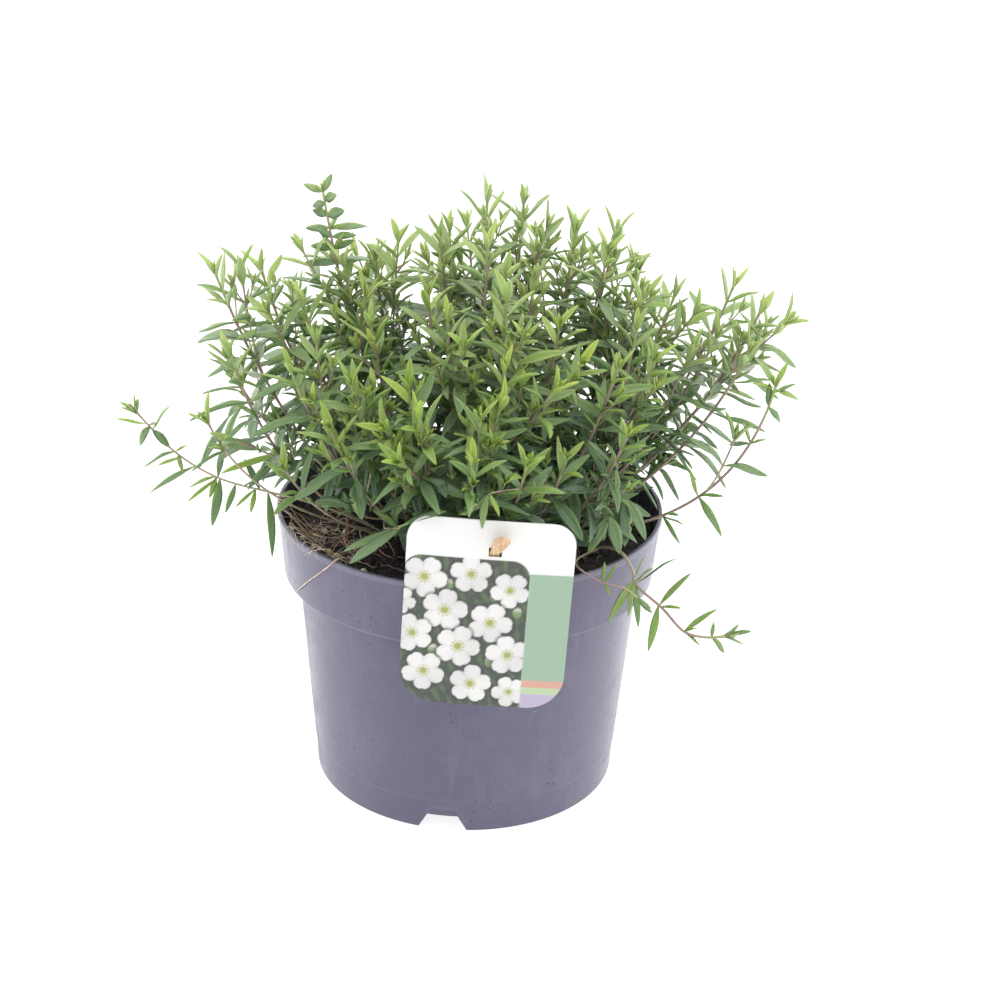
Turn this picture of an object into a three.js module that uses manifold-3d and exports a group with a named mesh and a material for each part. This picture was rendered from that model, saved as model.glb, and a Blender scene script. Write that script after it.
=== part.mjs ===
// Mountain sandwort in a round nursery pot: the pot, its soil, a plant label on a wooden peg, and
// the plant as leafy shoots that stand in the soil. Millimetres, +Z up, the front faces -Y and the
// origin is on the surface that the pot stands on, under the middle of the pot.
import * as THREE from 'three';
import { mergeVertices } from 'three/addons/utils/BufferGeometryUtils.js';
import Module from 'manifold-3d';

const wasm = await Module();
wasm.setup();

// Pot
const POT_HEIGHT = 142;
const RIM_RADIUS = 95;
const COLLAR_FOOT_RADIUS = 91.8;
const COLLAR_FOOT_Z = 109;
const BODY_TOP_RADIUS = 84.8;
const BODY_FOOT_RADIUS = 77.4;
const FOOT_LINE_Z = 17;
const FOOT_LINE_STEP = 0.5;
const FOOT_RADIUS = 76;
const WALL = 1.7;
const FLOOR_UNDERSIDE = 8;
const POT_SIDES = 40;
const NOTCHES = { firstAngle: -96.6, count: 3, wide: 24, narrow: 15, height: 8 };
const DRAINS = { count: 6, ring: 48, radius: 5, sides: 8 };

// Soil
const FIT_GAP = 0.35;
const SOIL_LEVEL = 131;
const SOIL_RINGS = [76, 60, 44, 26];
const SOIL_SIDES = 22;
const HOLE_DEPTH = 8;
const PELLET_RADIUS = 2.2;
const PELLETS = [
  [-80, -28],
  [-66, -44],
  [-62, -50],
  [-48, -64],
  [-60, -20],
  [64, -52],
  [30, 74],
  [-42, 66],
  [78, 22],
];
const MOUND = { x: -45, y: -40, height: 2.4, spread: 1500 };
const CLODS = { height: 0.8, xLength: 9, xShift: 1, yLength: 8 };
const LUMPS = { height: 0.5, xLength: 4.1, yLength: 3.7, yShift: 0.6 };
const WALL_DIP = { depth: 2, from: 74, to: 92 };

// Label and its peg
const CARD = { width: 76, height: 94, thickness: 0.8, topCorner: 11, bottomCorner: 17 };
const CARD_MIDDLE = new THREE.Vector3(10, -96.4, 129.5);
const CARD_TILT = THREE.MathUtils.degToRad(2.5);
const SLOT = { right: 2, up: 31.6, width: 6.2, height: 5 };
const PEG = { head: 7.4, waist: 4.2, shaft: 5.2, thickness: 1.8, above: 15, below: 60, point: 9 };
const PEG_LEAN = THREE.MathUtils.degToRad(40);
const PEG_TILT = THREE.MathUtils.degToRad(15);

// Shoots
const STEM_FOOT_RADIUS = 1.25;
const STEM_TIP_RADIUS = 0.75;
const SIDE_SHOOT_SCALE = 0.7;
const CORNER_SHARE = 1.2;
const BAR_STEPS = 6;
const FOOT_SHARE = 0.42;
const FOOT_REACH = 52;
const BLADE_THICKNESS = 0.8;
const BLADE_FOLD = 0.34;
const BLADE_ARCH = 0.16;
const LEAF_BASE = 1.6;
const BARE_STOPS = { arched: [0.72], routed: [0.94, 0.88, 0.8, 0.7, 0.6] };
const STOP_ROOM = 6;
const SMALL_BLADE = 24;
const CLEARANCE = 0.4;

// Where a stem's bend lies, as shares of the way out and up from foot to tip, and by how much a
// sprawling stem's bend moves out and down.
const BEND = { out: 0.65, up: 0.42, sprawlOut: 0.15, sprawlDown: 0.2 };
const FOOT_RISE = 1.5;
const SIDE_BEND = 0.25;

// Pairs of leaves counted from the tip: how far below the tip a pair sits, how long its blades
// are, and how far they lean out from the stem in degrees.
const PAIR_PLACE = { first: 3, gap: 7, growth: 0.35 };
const PAIR_LENGTH = { first: 12, growth: 4.2, most: 25 };
const PAIR_LEAN = { first: 26, growth: 15, most: 74 };
const SCATTER = { sideways: 24, lean: 18, leastSize: 0.85, sizeSpread: 0.3 };
const BLADE_WIDTH = { least: 0.9, growth: 0.068 };

// Pairs that each stem carries, and the turns and sizes tried where a neighbour is in the way.
const PAIRS = { main: [[0, 2, 4, 7], [0, 1, 3, 6]], side: [[0, 2], [0, 3]] };
const TURNS = [0, 20, -20, 40, -40];
const SHRINKS = [1, 0.8, 0.6];
const BARE_FOOT = 22;

// Room that blades leave to the soil, the pot's wall and the label.
const ROOM = { soil: 2.5, wall: 1, cardSide: 3, cardFront: 9, cardTop: 2 };

// Each shoot's tip and how low it arches out, 0 for upright and 1 for sprawling, in groups from the
// left front round to the back. A side shoot leaves its stem at a share of the stem's length.
const SHOOTS = [
  { tip: [-75, 35, 288], side: [0.45, -85, 28, 261] },
  { tip: [-122, -8, 260], side: [0.6, -112, 8, 258] },
  { tip: [-104, 22, 252], side: [0.3, -97, -12, 243] },
  { tip: [-82, 2, 243], side: [0.3, -52, 6, 246] },
  { tip: [-112, -36, 230], arch: 0.6, side: [0.45, -110, -50, 192] },
  { tip: [-82, -52, 228], side: [0.45, -72, -36, 237] },
  { tip: [-64, 22, 256] },
  { tip: [-51, 42, 254], side: [0.5, -38, 30, 267] },
  { tip: [-14, 46, 268], side: [0.5, -18, 20, 270] },
  { tip: [4, 46, 283], side: [0.4, -6, 62, 266] },
  { tip: [22, 56, 280], side: [0.45, 34, 40, 273] },
  { tip: [48, 42, 271] },
  { tip: [5, 6, 272], side: [0.5, 14, -12, 262] },
  { tip: [-22, -5, 252] },
  { tip: [-12, -26, 246], side: [0.5, -3, -46, 240] },
  { tip: [-48, -22, 241] },
  { tip: [15, -35, 260], side: [0.5, 24, -48, 246] },
  { tip: [28, 12, 256] },
  { tip: [40, -22, 243], side: [0.35, 50, -48, 234] },
  { tip: [15, -60, 235], side: [0.35, 38, -66, 228] },
  { tip: [-54, -62, 227], side: [0.5, -45, -46, 218] },
  { tip: [-28, -66, 227], side: [0.4, -38, -82, 213] },
  { tip: [-22, -86, 221], side: [0.45, -30, -98, 204] },
  { tip: [5, -84, 220], side: [0.5, 14, -74, 222] },
  { tip: [2, -102, 206] },
  { tip: [26, -95, 204] },
  { tip: [-62, -78, 211] },
  { tip: [68, 46, 270], side: [0.4, 63, 20, 267] },
  { tip: [78, 28, 256], side: [0.4, 82, 5, 252] },
  { tip: [98, 40, 240], side: [0.4, 106, 12, 240] },
  { tip: [116, 0, 233], side: [0.35, 103, -12, 229] },
  { tip: [126, 32, 249], arch: 0.2 },
  { tip: [137, 10, 243], arch: 0.2, side: [0.6, 157, 0, 241] },
  { tip: [131, -10, 230], arch: 0.3 },
  { tip: [141, -34, 221], arch: 1.3, side: [0.5, 124, -36, 196] },
  { tip: [67, -46, 233] },
  { tip: [85, -30, 231], side: [0.4, 77, -9, 239] },
  { tip: [-122, -46, 200], arch: 0.7 },
  { tip: [44, -74, 198], arch: 0.2 },
  { tip: [72, -62, 206], arch: 0.3 },
  { tip: [-84, -66, 186], arch: 0.5 },
  { tip: [0, 96, 236], side: [0.4, -26, 84, 240] },
  { tip: [-46, 92, 236], side: [0.4, -62, 74, 245] },
  { tip: [-92, 70, 226], side: [0.45, -112, 52, 214] },
  { tip: [50, 94, 240], side: [0.4, 29, 86, 255] },
  { tip: [95, 76, 222], side: [0.4, 83, 62, 231] },
  { tip: [-126, 48, 198], arch: 0.7 },
  { tip: [130, 62, 200], arch: 0.7 },
  { tip: [14, 104, 196], arch: 0.6, side: [0.4, -22, 101, 206] },
  { tip: [-72, 96, 190], arch: 0.6 },
  { tip: [76, 96, 196], arch: 0.6 },
];

// Shoots that trail over the rim keep their own route, with the side shoot's route after it.
const TRAILING_SHOOTS = [
  {
    route: [[-40, -26, 135.5], [-60, -28, 146], [-81, -30, 154], [-96, -28, 156.5], [-121, -25, 162],
      [-141, -22, 173], [-160, -20, 193]],
  },
  {
    route: [[56, -40, 134], [64, -52, 144], [72, -63, 146.6], [77, -73, 142.6], [78, -80, 139.3],
      [90.5, -86, 130.2], [101.8, -88, 119], [115.6, -88, 116.8], [129, -88, 120.5]],
    side: [0.1, [52, -62, 142.5], [51.5, -79, 146], [62, -86, 142.6], [73, -90, 141.6], [80, -93, 137]],
  },
];

// Solids and geometries

// A closed geometry as a solid that can be joined and cut.
function solid(geometry) {
  const bare = new THREE.BufferGeometry();
  bare.setAttribute('position', geometry.getAttribute('position'));
  if (geometry.index) bare.setIndex(geometry.index);
  const merged = mergeVertices(bare, 1e-4);
  const corners = merged.index.array;
  const triVerts = [];
  for (let k = 0; k < corners.length; k += 3) {
    const [a, b, c] = corners.slice(k, k + 3);
    if (a !== b && b !== c && c !== a) triVerts.push(a, b, c);
  }
  return new wasm.Manifold(new wasm.Mesh({
    numProp: 3,
    vertProperties: new Float32Array(merged.getAttribute('position').array),
    triVerts: new Uint32Array(triVerts),
  }));
}

// Joined parts as one body: a hollow that the joining seals is filled, and a loose scrap is dropped.
function fuse(parts) {
  const bodies = wasm.Manifold.union(parts).decompose();
  return bodies.reduce((most, body) => (body.volume() > most.volume() ? body : most));
}

// A finished solid back as a geometry with normals.
function geometryOf(body) {
  const mesh = body.getMesh();
  const geometry = new THREE.BufferGeometry();
  geometry.setAttribute('position', new THREE.BufferAttribute(mesh.vertProperties, 3));
  geometry.setIndex(new THREE.BufferAttribute(mesh.triVerts, 1));
  geometry.computeVertexNormals();
  return geometry;
}

// A profile of [radius, z] pairs turned about the Z axis.
function turned(profile, sides) {
  const points = profile.map(([radius, z]) => new THREE.Vector2(radius, z));
  return new THREE.LatheGeometry(points, sides).rotateX(Math.PI / 2);
}

// A flat outline in X and Y, made as thick as depth with its middle on the XY plane.
function plate(shape, depth, curveSegments) {
  const geometry = new THREE.ExtrudeGeometry(shape, { depth, bevelEnabled: false, curveSegments });
  return geometry.translate(0, 0, -depth / 2);
}

const group = new THREE.Group();
function addPiece(name, geometry, colour, roughness) {
  const material = new THREE.MeshStandardMaterial({ color: colour, roughness, metalness: 0 });
  const mesh = new THREE.Mesh(geometry, material);
  mesh.name = name;
  group.add(mesh);
}

// Pot: a tapered body, a wider collar, and a foot ring with a raised floor

function wallRadius(z) {
  return THREE.MathUtils.mapLinear(z, FOOT_LINE_Z, COLLAR_FOOT_Z, BODY_FOOT_RADIUS, BODY_TOP_RADIUS);
}

function collarRadius(z) {
  return THREE.MathUtils.mapLinear(z, COLLAR_FOOT_Z, POT_HEIGHT, COLLAR_FOOT_RADIUS, RIM_RADIUS - 0.4);
}

function makePot() {
  const floorTop = FLOOR_UNDERSIDE + WALL;
  const profile = [
    [0, FLOOR_UNDERSIDE],
    [FOOT_RADIUS - WALL, FLOOR_UNDERSIDE],
    [FOOT_RADIUS - WALL, 0],
    [FOOT_RADIUS, 0],
    [BODY_FOOT_RADIUS - FOOT_LINE_STEP, FOOT_LINE_Z - 0.6],
    [BODY_FOOT_RADIUS, FOOT_LINE_Z],
    [BODY_TOP_RADIUS, COLLAR_FOOT_Z],
    [COLLAR_FOOT_RADIUS - 0.9, COLLAR_FOOT_Z],
    [COLLAR_FOOT_RADIUS, COLLAR_FOOT_Z + 1],
    [collarRadius(POT_HEIGHT - 3), POT_HEIGHT - 3],
    [RIM_RADIUS, POT_HEIGHT - 2.4],
    [RIM_RADIUS, POT_HEIGHT - 0.5],
    [RIM_RADIUS - 0.5, POT_HEIGHT],
    [RIM_RADIUS - WALL - 0.3, POT_HEIGHT],
    [collarRadius(COLLAR_FOOT_Z) - WALL, COLLAR_FOOT_Z + WALL],
    [BODY_TOP_RADIUS - WALL, COLLAR_FOOT_Z + WALL],
    [wallRadius(floorTop) - WALL, floorTop],
    [0, floorTop],
  ];
  const cutters = [];
  for (let k = 0; k < NOTCHES.count; k += 1) {
    const half = NOTCHES.wide / 2;
    const trapezoid = new THREE.Shape([
      new THREE.Vector2(-half, -1),
      new THREE.Vector2(half, -1),
      new THREE.Vector2(NOTCHES.narrow / 2, NOTCHES.height),
      new THREE.Vector2(-NOTCHES.narrow / 2, NOTCHES.height),
    ]);
    const notch = plate(trapezoid, 12, 1).rotateX(Math.PI / 2).translate(0, -FOOT_RADIUS, 0);
    const turn = NOTCHES.firstAngle + 90 + (k * 360) / NOTCHES.count;
    cutters.push(solid(notch.rotateZ(THREE.MathUtils.degToRad(turn))));
  }
  for (let k = 0; k < DRAINS.count; k += 1) {
    const drain = new THREE.CylinderGeometry(DRAINS.radius, DRAINS.radius, 3 * WALL, DRAINS.sides);
    drain.rotateX(Math.PI / 2).translate(DRAINS.ring, 0, FLOOR_UNDERSIDE + WALL / 2);
    cutters.push(solid(drain.rotateZ((k * 2 * Math.PI) / DRAINS.count)));
  }
  return solid(turned(profile, POT_SIDES)).subtract(wasm.Manifold.union(cutters));
}

// Soil: fills the pot to just under the rim, with an uneven top

function soilHeight(x, y) {
  const fromMound = (x - MOUND.x) ** 2 + (y - MOUND.y) ** 2;
  const mound = MOUND.height * Math.exp(-fromMound / MOUND.spread);
  const clods = CLODS.height * Math.sin(x / CLODS.xLength + CLODS.xShift) * Math.cos(y / CLODS.yLength);
  const lumps = LUMPS.height * Math.sin(x / LUMPS.xLength) * Math.sin(y / LUMPS.yLength + LUMPS.yShift);
  const dip = WALL_DIP.depth * THREE.MathUtils.smoothstep(Math.hypot(x, y), WALL_DIP.from, WALL_DIP.to);
  return SOIL_LEVEL + mound + clods + lumps - dip;
}

function makeSoil(holes) {
  const floor = FLOOR_UNDERSIDE + WALL + FIT_GAP;
  const shoulder = COLLAR_FOOT_Z + WALL + FIT_GAP;
  const edge = collarRadius(SOIL_LEVEL - 3) - WALL - FIT_GAP;
  const profile = [
    [0, floor],
    [wallRadius(floor) - WALL - FIT_GAP, floor],
    [BODY_TOP_RADIUS - WALL - FIT_GAP, shoulder],
    [COLLAR_FOOT_RADIUS - WALL - FIT_GAP, shoulder],
    [edge, SOIL_LEVEL],
    ...SOIL_RINGS.map((radius) => [radius, SOIL_LEVEL]),
    [0, SOIL_LEVEL],
  ];
  const geometry = turned(profile, SOIL_SIDES);
  const place = geometry.getAttribute('position');
  for (let k = 0; k < place.count; k += 1) {
    if (place.getZ(k) > SOIL_LEVEL - 1) place.setZ(k, soilHeight(place.getX(k), place.getY(k)));
  }
  const pellets = PELLETS.map(([x, y]) => {
    const pellet = new THREE.OctahedronGeometry(PELLET_RADIUS).rotateZ(x);
    return solid(pellet.translate(x, y, soilHeight(x, y) + PELLET_RADIUS / 3));
  });
  const heap = wasm.Manifold.union([solid(geometry), ...pellets]);
  return heap.subtract(wasm.Manifold.union(holes));
}

// Label: a plastic card that hangs by its slot on a wooden peg

function cardShape() {
  const [right, top] = [CARD.width / 2, CARD.height / 2];
  const { topCorner, bottomCorner } = CARD;
  const shape = new THREE.Shape();
  shape.moveTo(bottomCorner - right, -top);
  shape.lineTo(right - bottomCorner, -top);
  shape.absarc(right - bottomCorner, bottomCorner - top, bottomCorner, -Math.PI / 2, 0);
  shape.absarc(right - topCorner, top - topCorner, topCorner, 0, Math.PI / 2);
  shape.absarc(topCorner - right, top - topCorner, topCorner, Math.PI / 2, Math.PI);
  shape.absarc(bottomCorner - right, bottomCorner - top, bottomCorner, Math.PI, 1.5 * Math.PI);
  const [west, east] = [SLOT.right - SLOT.width / 2, SLOT.right + SLOT.width / 2];
  const [low, high] = [SLOT.up - SLOT.height / 2, SLOT.up + SLOT.height / 2];
  shape.holes.push(new THREE.Path([
    new THREE.Vector2(west, low),
    new THREE.Vector2(west, high),
    new THREE.Vector2(east, high),
    new THREE.Vector2(east, low),
  ]));
  return shape;
}

function makeCard() {
  const geometry = plate(cardShape(), CARD.thickness, 7).rotateX(Math.PI / 2).rotateY(CARD_TILT);
  return geometry.translate(CARD_MIDDLE.x, CARD_MIDDLE.y, CARD_MIDDLE.z);
}

// The peg lies along Y as it is drawn, with the slot of the card at its origin. It is tilted to one
// side in its own plane and then leant forward.
function makePeg(grow = 0) {
  const half = (width) => width / 2 + grow;
  const shape = new THREE.Shape();
  shape.moveTo(-half(PEG.shaft), PEG.point - PEG.below);
  shape.lineTo(0, -PEG.below - grow);
  shape.lineTo(half(PEG.shaft), PEG.point - PEG.below);
  shape.lineTo(half(PEG.waist), 0);
  shape.lineTo(half(PEG.head), PEG.above - half(PEG.head));
  shape.absarc(0, PEG.above - half(PEG.head), half(PEG.head), 0, Math.PI);
  shape.lineTo(-half(PEG.waist), 0);
  const slot = new THREE.Vector3(SLOT.right, 0, SLOT.up);
  slot.applyAxisAngle(new THREE.Vector3(0, 1, 0), CARD_TILT);
  const geometry = plate(shape, PEG.thickness + 2 * grow, 4).rotateZ(-PEG_TILT);
  geometry.rotateX(Math.PI / 2 + PEG_LEAN);
  return geometry.translate(CARD_MIDDLE.x + slot.x, CARD_MIDDLE.y, CARD_MIDDLE.z + slot.z);
}

// Stems

// A scatter value from 0 to 1 that is always the same for the same shoot, joint and use.
function scatter(shoot, joint, use) {
  const wave = Math.sin(shoot * 12.9898 + joint * 78.233 + use * 37.719) * 43758.5453;
  return wave - Math.floor(wave);
}

// A curve that stands up from the soil at its foot, arches out and ends at the tip.
function archedCurve(tip, arch) {
  const reach = Math.hypot(tip.x, tip.y);
  const share = Math.min(FOOT_SHARE, FOOT_REACH / reach);
  const foot = new THREE.Vector3(tip.x * share, tip.y * share, 0);
  foot.z = soilHeight(foot.x, foot.y) + FOOT_RISE;
  const out = BEND.out + BEND.sprawlOut * arch;
  const up = BEND.up - BEND.sprawlDown * arch;
  const bend = new THREE.Vector3(
    foot.x + out * (tip.x - foot.x),
    foot.y + out * (tip.y - foot.y),
    foot.z + up * (tip.z - foot.z),
  );
  return new THREE.QuadraticBezierCurve3(foot, bend, tip);
}

// A side shoot leaves its stem along the stem and bends away to its own tip.
function sideCurve(parent, share, tip) {
  const start = parent.getPoint(share);
  const heading = parent.getTangent(share).multiplyScalar(SIDE_BEND * start.distanceTo(tip));
  return new THREE.QuadraticBezierCurve3(start, start.clone().add(heading), tip);
}

// The place on a stem at a distance back from its tip, with directions along it and out from it.
function placeOnStem(stem, fromTip) {
  const share = THREE.MathUtils.clamp(1 - fromTip / stem.length, 0, 1);
  const heading = stem.curve.getTangentAt(share);
  const across = new THREE.Vector3(0, 1, 0).cross(heading).normalize();
  const radius = THREE.MathUtils.lerp(stem.footRadius, stem.tipRadius, share);
  return { centre: stem.curve.getPointAt(share), heading, across, radius };
}

function outFrom(place, degrees) {
  return place.across.clone().applyAxisAngle(place.heading, THREE.MathUtils.degToRad(degrees));
}

// Four corners about a place on a stem. Leaves grow from the faces between them, at the stem's
// own turn and every quarter turn from it.
function squareAbout(place, turn) {
  return [-45, 45, 135, 225].map((angle) => place.centre.clone()
    .addScaledVector(outFrom(place, turn + angle), place.radius * CORNER_SHARE));
}

// Leaves

// Place, blade length and lean of a pair of leaves: small and upright at the tip, long and
// spreading below.
function pairAt(index) {
  return {
    fromTip: PAIR_PLACE.first + PAIR_PLACE.gap * index + PAIR_PLACE.growth * index ** 2,
    length: Math.min(PAIR_LENGTH.first + PAIR_LENGTH.growth * index, PAIR_LENGTH.most),
    lean: Math.min(PAIR_LEAN.first + PAIR_LEAN.growth * index, PAIR_LEAN.most),
  };
}

// The middle line, width and upper side of one blade on a stem. Side 0 and 1 face each other, and
// the next pair is a quarter turn on.
function bladeOn(stem, index, side, turn, shrink) {
  const { fromTip, length, lean } = pairAt(index);
  const place = placeOnStem(stem, fromTip);
  const around = stem.turn + (index % 2) * 90 + side * 180;
  const draw = (use) => scatter(stem.number, index, side + use);
  const outward = outFrom(place, around + SCATTER.sideways * (draw(0) - 0.5) + turn);
  const tilt = THREE.MathUtils.degToRad(lean + SCATTER.lean * (draw(2) - 0.5));
  const along = place.heading.clone().multiplyScalar(Math.cos(tilt));
  const direction = along.addScaledVector(outward, Math.sin(tilt));
  const widthAxis = place.heading.clone().cross(outward);
  const size = length * shrink * (SCATTER.leastSize + SCATTER.sizeSpread * draw(4));
  return {
    root: place.centre.addScaledVector(outFrom(place, around), place.radius),
    direction,
    widthAxis,
    upper: direction.clone().cross(widthAxis),
    size,
    halfWidth: BLADE_WIDTH.least + BLADE_WIDTH.growth * size,
  };
}

// A point on a blade's arched middle line, at a share of its length.
function bladePoint(blade, share) {
  return blade.root.clone()
    .addScaledVector(blade.direction, blade.size * share)
    .addScaledVector(blade.upper, -BLADE_ARCH * blade.size * share ** 2);
}

// Outlines of a lance-shaped blade from its widest place to its tip, folded up along the midrib.
function bladeOutlines(blade) {
  const stations = blade.size < SMALL_BLADE ? [[0.42, 1]] : [[0.36, 1], [0.7, 0.72]];
  const outlines = stations.map(([share, width]) => {
    const half = width * blade.halfWidth;
    const middle = bladePoint(blade, share);
    const edge = middle.clone().addScaledVector(blade.upper, BLADE_FOLD * half);
    return [
      edge.clone().addScaledVector(blade.widthAxis, -half),
      middle.clone().addScaledVector(blade.upper, -BLADE_THICKNESS / 2),
      edge.clone().addScaledVector(blade.widthAxis, half),
      middle.clone().addScaledVector(blade.upper, BLADE_THICKNESS / 2),
    ];
  });
  return [...outlines, [bladePoint(blade, 1)]];
}

// One stem with its leaves as a closed mesh. The stem is a row of squares that ends in a point. A
// pair of leaves sits between two squares close together, and each blade grows out of the face
// between them in place of that face.
function leafyStem(stem, blades) {
  const bareStops = stem.isRouted ? BARE_STOPS.routed : BARE_STOPS.arched;
  const stops = [1, ...bareStops].map((share) => ({ fromTip: stem.length * share }));
  const indices = [...new Set(blades.map((blade) => blade.index))];
  indices.forEach((index) => {
    const { fromTip } = pairAt(index);
    stops.push({ fromTip: fromTip + LEAF_BASE / 2, index }, { fromTip: fromTip - LEAF_BASE / 2 });
  });
  stops.sort((one, other) => other.fromTip - one.fromTip);
  // The foot and both squares of each pair stay. A square on the bare stretch goes where it
  // would crowd a pair.
  const crowds = (fromTip) => indices.some((near) => Math.abs(pairAt(near).fromTip - fromTip) < STOP_ROOM);
  const kept = stops.filter(({ fromTip, index }, k) => (
    index !== undefined || k === 0 || stops[k - 1].index !== undefined || !crowds(fromTip)
  ));
  const points = [];
  const faces = [];
  const addOutline = (outline) => outline.map((point) => points.push(point) - 1);
  const bridge = (low, high) => low.forEach((corner, k) => {
    const next = (k + 1) % low.length;
    if (high.length === 1) faces.push([corner, low[next], high[0]]);
    else faces.push([corner, low[next], high[next]], [corner, high[next], high[k]]);
  });
  const rings = kept.map(({ fromTip }) => addOutline(squareAbout(placeOnStem(stem, fromTip), stem.turn)));
  if (stem.isMain) {
    const foot = stem.curve.getPoint(0);
    const root = [foot.clone().setZ(foot.z - HOLE_DEPTH - 0.5), foot].map((centre) => {
      const place = { centre, heading: new THREE.Vector3(0, 0, 1), across: new THREE.Vector3(1, 0, 0) };
      return squareAbout({ ...place, radius: stem.footRadius }, stem.turn);
    });
    rings[0] = addOutline(root[1]);
    rings.unshift(addOutline(root[0]));
    kept.unshift({});
  }
  faces.push([rings[0][2], rings[0][1], rings[0][0]], [rings[0][3], rings[0][2], rings[0][0]]);
  rings.forEach((ring, row) => {
    if (row + 1 === rings.length) {
      bridge(ring, addOutline([stem.curve.getPoint(1)]));
      return;
    }
    const above = rings[row + 1];
    for (let k = 0; k < 4; k += 1) {
      const next = (k + 1) % 4;
      const { index } = kept[row];
      const side = index === undefined || k % 2 !== index % 2 ? -1 : (k - (index % 2)) / 2;
      const blade = blades.find((one) => one.index === index && one.side === side);
      if (blade === undefined) {
        faces.push([ring[k], ring[next], above[next]], [ring[k], above[next], above[k]]);
      } else {
        const base = [ring[k], ring[next], above[next], above[k]];
        bladeOutlines(blade).reduce((low, outline) => {
          const high = addOutline(outline);
          bridge(low, high);
          return high;
        }, base);
      }
    }
  });
  const geometry = new THREE.BufferGeometry().setFromPoints(points);
  geometry.setIndex(faces.flat());
  return solid(geometry);
}

// Keeping shoots clear of each other

// The shortest distance between two straight bars.
function barGap(first, second) {
  const u = first.end.clone().sub(first.start);
  const v = second.end.clone().sub(second.start);
  const w = first.start.clone().sub(second.start);
  const [a, b, c, d, e] = [u.dot(u), u.dot(v), v.dot(v), u.dot(w), v.dot(w)];
  const clamp = THREE.MathUtils.clamp;
  const spread = a * c - b * b;
  let s = spread > 1e-9 ? clamp((b * e - c * d) / spread, 0, 1) : 0;
  const t = clamp((b * s + e) / c, 0, 1);
  s = clamp((b * t - d) / a, 0, 1);
  return w.addScaledVector(u, s).addScaledVector(v, -t).length();
}

const placedBars = [];

// Whether a blade's bar comes near another shoot, or near a blade on another stem of its own shoot.
function touchesOther(bar) {
  return placedBars.some((other) => other.stem !== bar.stem
    && (other.owner !== bar.owner || other.isBlade)
    && barGap(bar, other) < bar.radius + other.radius + CLEARANCE);
}

// Whether a point of a blade is in the soil, the pot's wall or the label.
function insideHolder(point, radius) {
  const out = Math.hypot(point.x, point.y);
  if (out < RIM_RADIUS && point.z < soilHeight(point.x, point.y) + radius + ROOM.soil) return true;
  const nearWall = out > BODY_TOP_RADIUS - radius && out < RIM_RADIUS + radius + ROOM.wall;
  if (nearWall && point.z < POT_HEIGHT + radius + ROOM.wall) return true;
  const besideCard = Math.abs(point.x - CARD_MIDDLE.x) > CARD.width / 2 + ROOM.cardSide;
  const behindCard = point.y > CARD_MIDDLE.y + radius + ROOM.cardFront;
  const aboveCard = point.z > CARD_MIDDLE.z + CARD.height / 2 + radius + ROOM.cardTop;
  return !(besideCard || behindCard || aboveCard);
}

function barsOfBlade(blade, stem) {
  const [root, middle, tip] = [bladePoint(blade, 0.12), bladePoint(blade, 0.5), bladePoint(blade, 1)];
  const shared = { radius: blade.halfWidth, owner: stem.owner, stem, isBlade: true };
  return [{ start: root, end: middle, ...shared }, { start: middle, end: tip, ...shared }];
}

// Whether a blade is clear of the soil, the pot, the label and its neighbours.
function isFree(blade, stem) {
  const places = [0.3, 0.5, 0.75, 1].map((share) => bladePoint(blade, share));
  if (places.some((place) => insideHolder(place, blade.halfWidth))) return false;
  return !barsOfBlade(blade, stem).some(touchesOther);
}

// The blades that a stem carries, each at the first turn and size that leaves it free.
function bladesOf(stem) {
  const choice = stem.isMain ? PAIRS.main : PAIRS.side;
  const pairs = choice[stem.owner % 2].filter((index) => pairAt(index).fromTip < stem.length - BARE_FOOT);
  const blades = [];
  pairs.forEach((index) => [0, 1].forEach((side) => {
    const tries = SHRINKS.flatMap((shrink) => (
      TURNS.map((turn) => bladeOn(stem, index, side, turn, shrink))
    ));
    const found = tries.find((blade) => isFree(blade, stem));
    if (found === undefined) return;
    placedBars.push(...barsOfBlade(found, stem));
    blades.push({ ...found, index, side });
  }));
  return blades;
}

// Putting the plant together

function stemsOf(shoot, owner) {
  const vector = (values) => new THREE.Vector3(...values);
  const number = owner + 1;
  const main = shoot.route
    ? new THREE.CatmullRomCurve3(shoot.route.map(vector))
    : archedCurve(vector(shoot.tip), shoot.arch ?? 0);
  const curves = [main];
  if (shoot.side) {
    const [share, ...end] = shoot.side;
    curves.push(shoot.route
      ? new THREE.CatmullRomCurve3([main.getPoint(share), ...end.map(vector)])
      : sideCurve(main, share, vector(end)));
  }
  return curves.map((curve, k) => {
    const scale = k === 0 ? 1 : SIDE_SHOOT_SCALE;
    return {
      curve,
      length: curve.getLength(),
      isMain: k === 0,
      isRouted: shoot.route !== undefined,
      owner,
      footRadius: scale * STEM_FOOT_RADIUS,
      tipRadius: scale * STEM_TIP_RADIUS,
      number: number + 0.37 * k,
      turn: 360 * scatter(number, k, 9),
    };
  });
}

const plants = [...SHOOTS, ...TRAILING_SHOOTS].map((shoot, owner) => (
  { owner, stems: stemsOf(shoot, owner) }
));
plants.forEach(({ owner, stems }) => stems.forEach((stem) => {
  const points = stem.curve.getPoints(BAR_STEPS);
  points.slice(1).forEach((end, k) => {
    placedBars.push({ start: points[k], end, radius: stem.footRadius, owner, stem });
  });
}));

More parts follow.
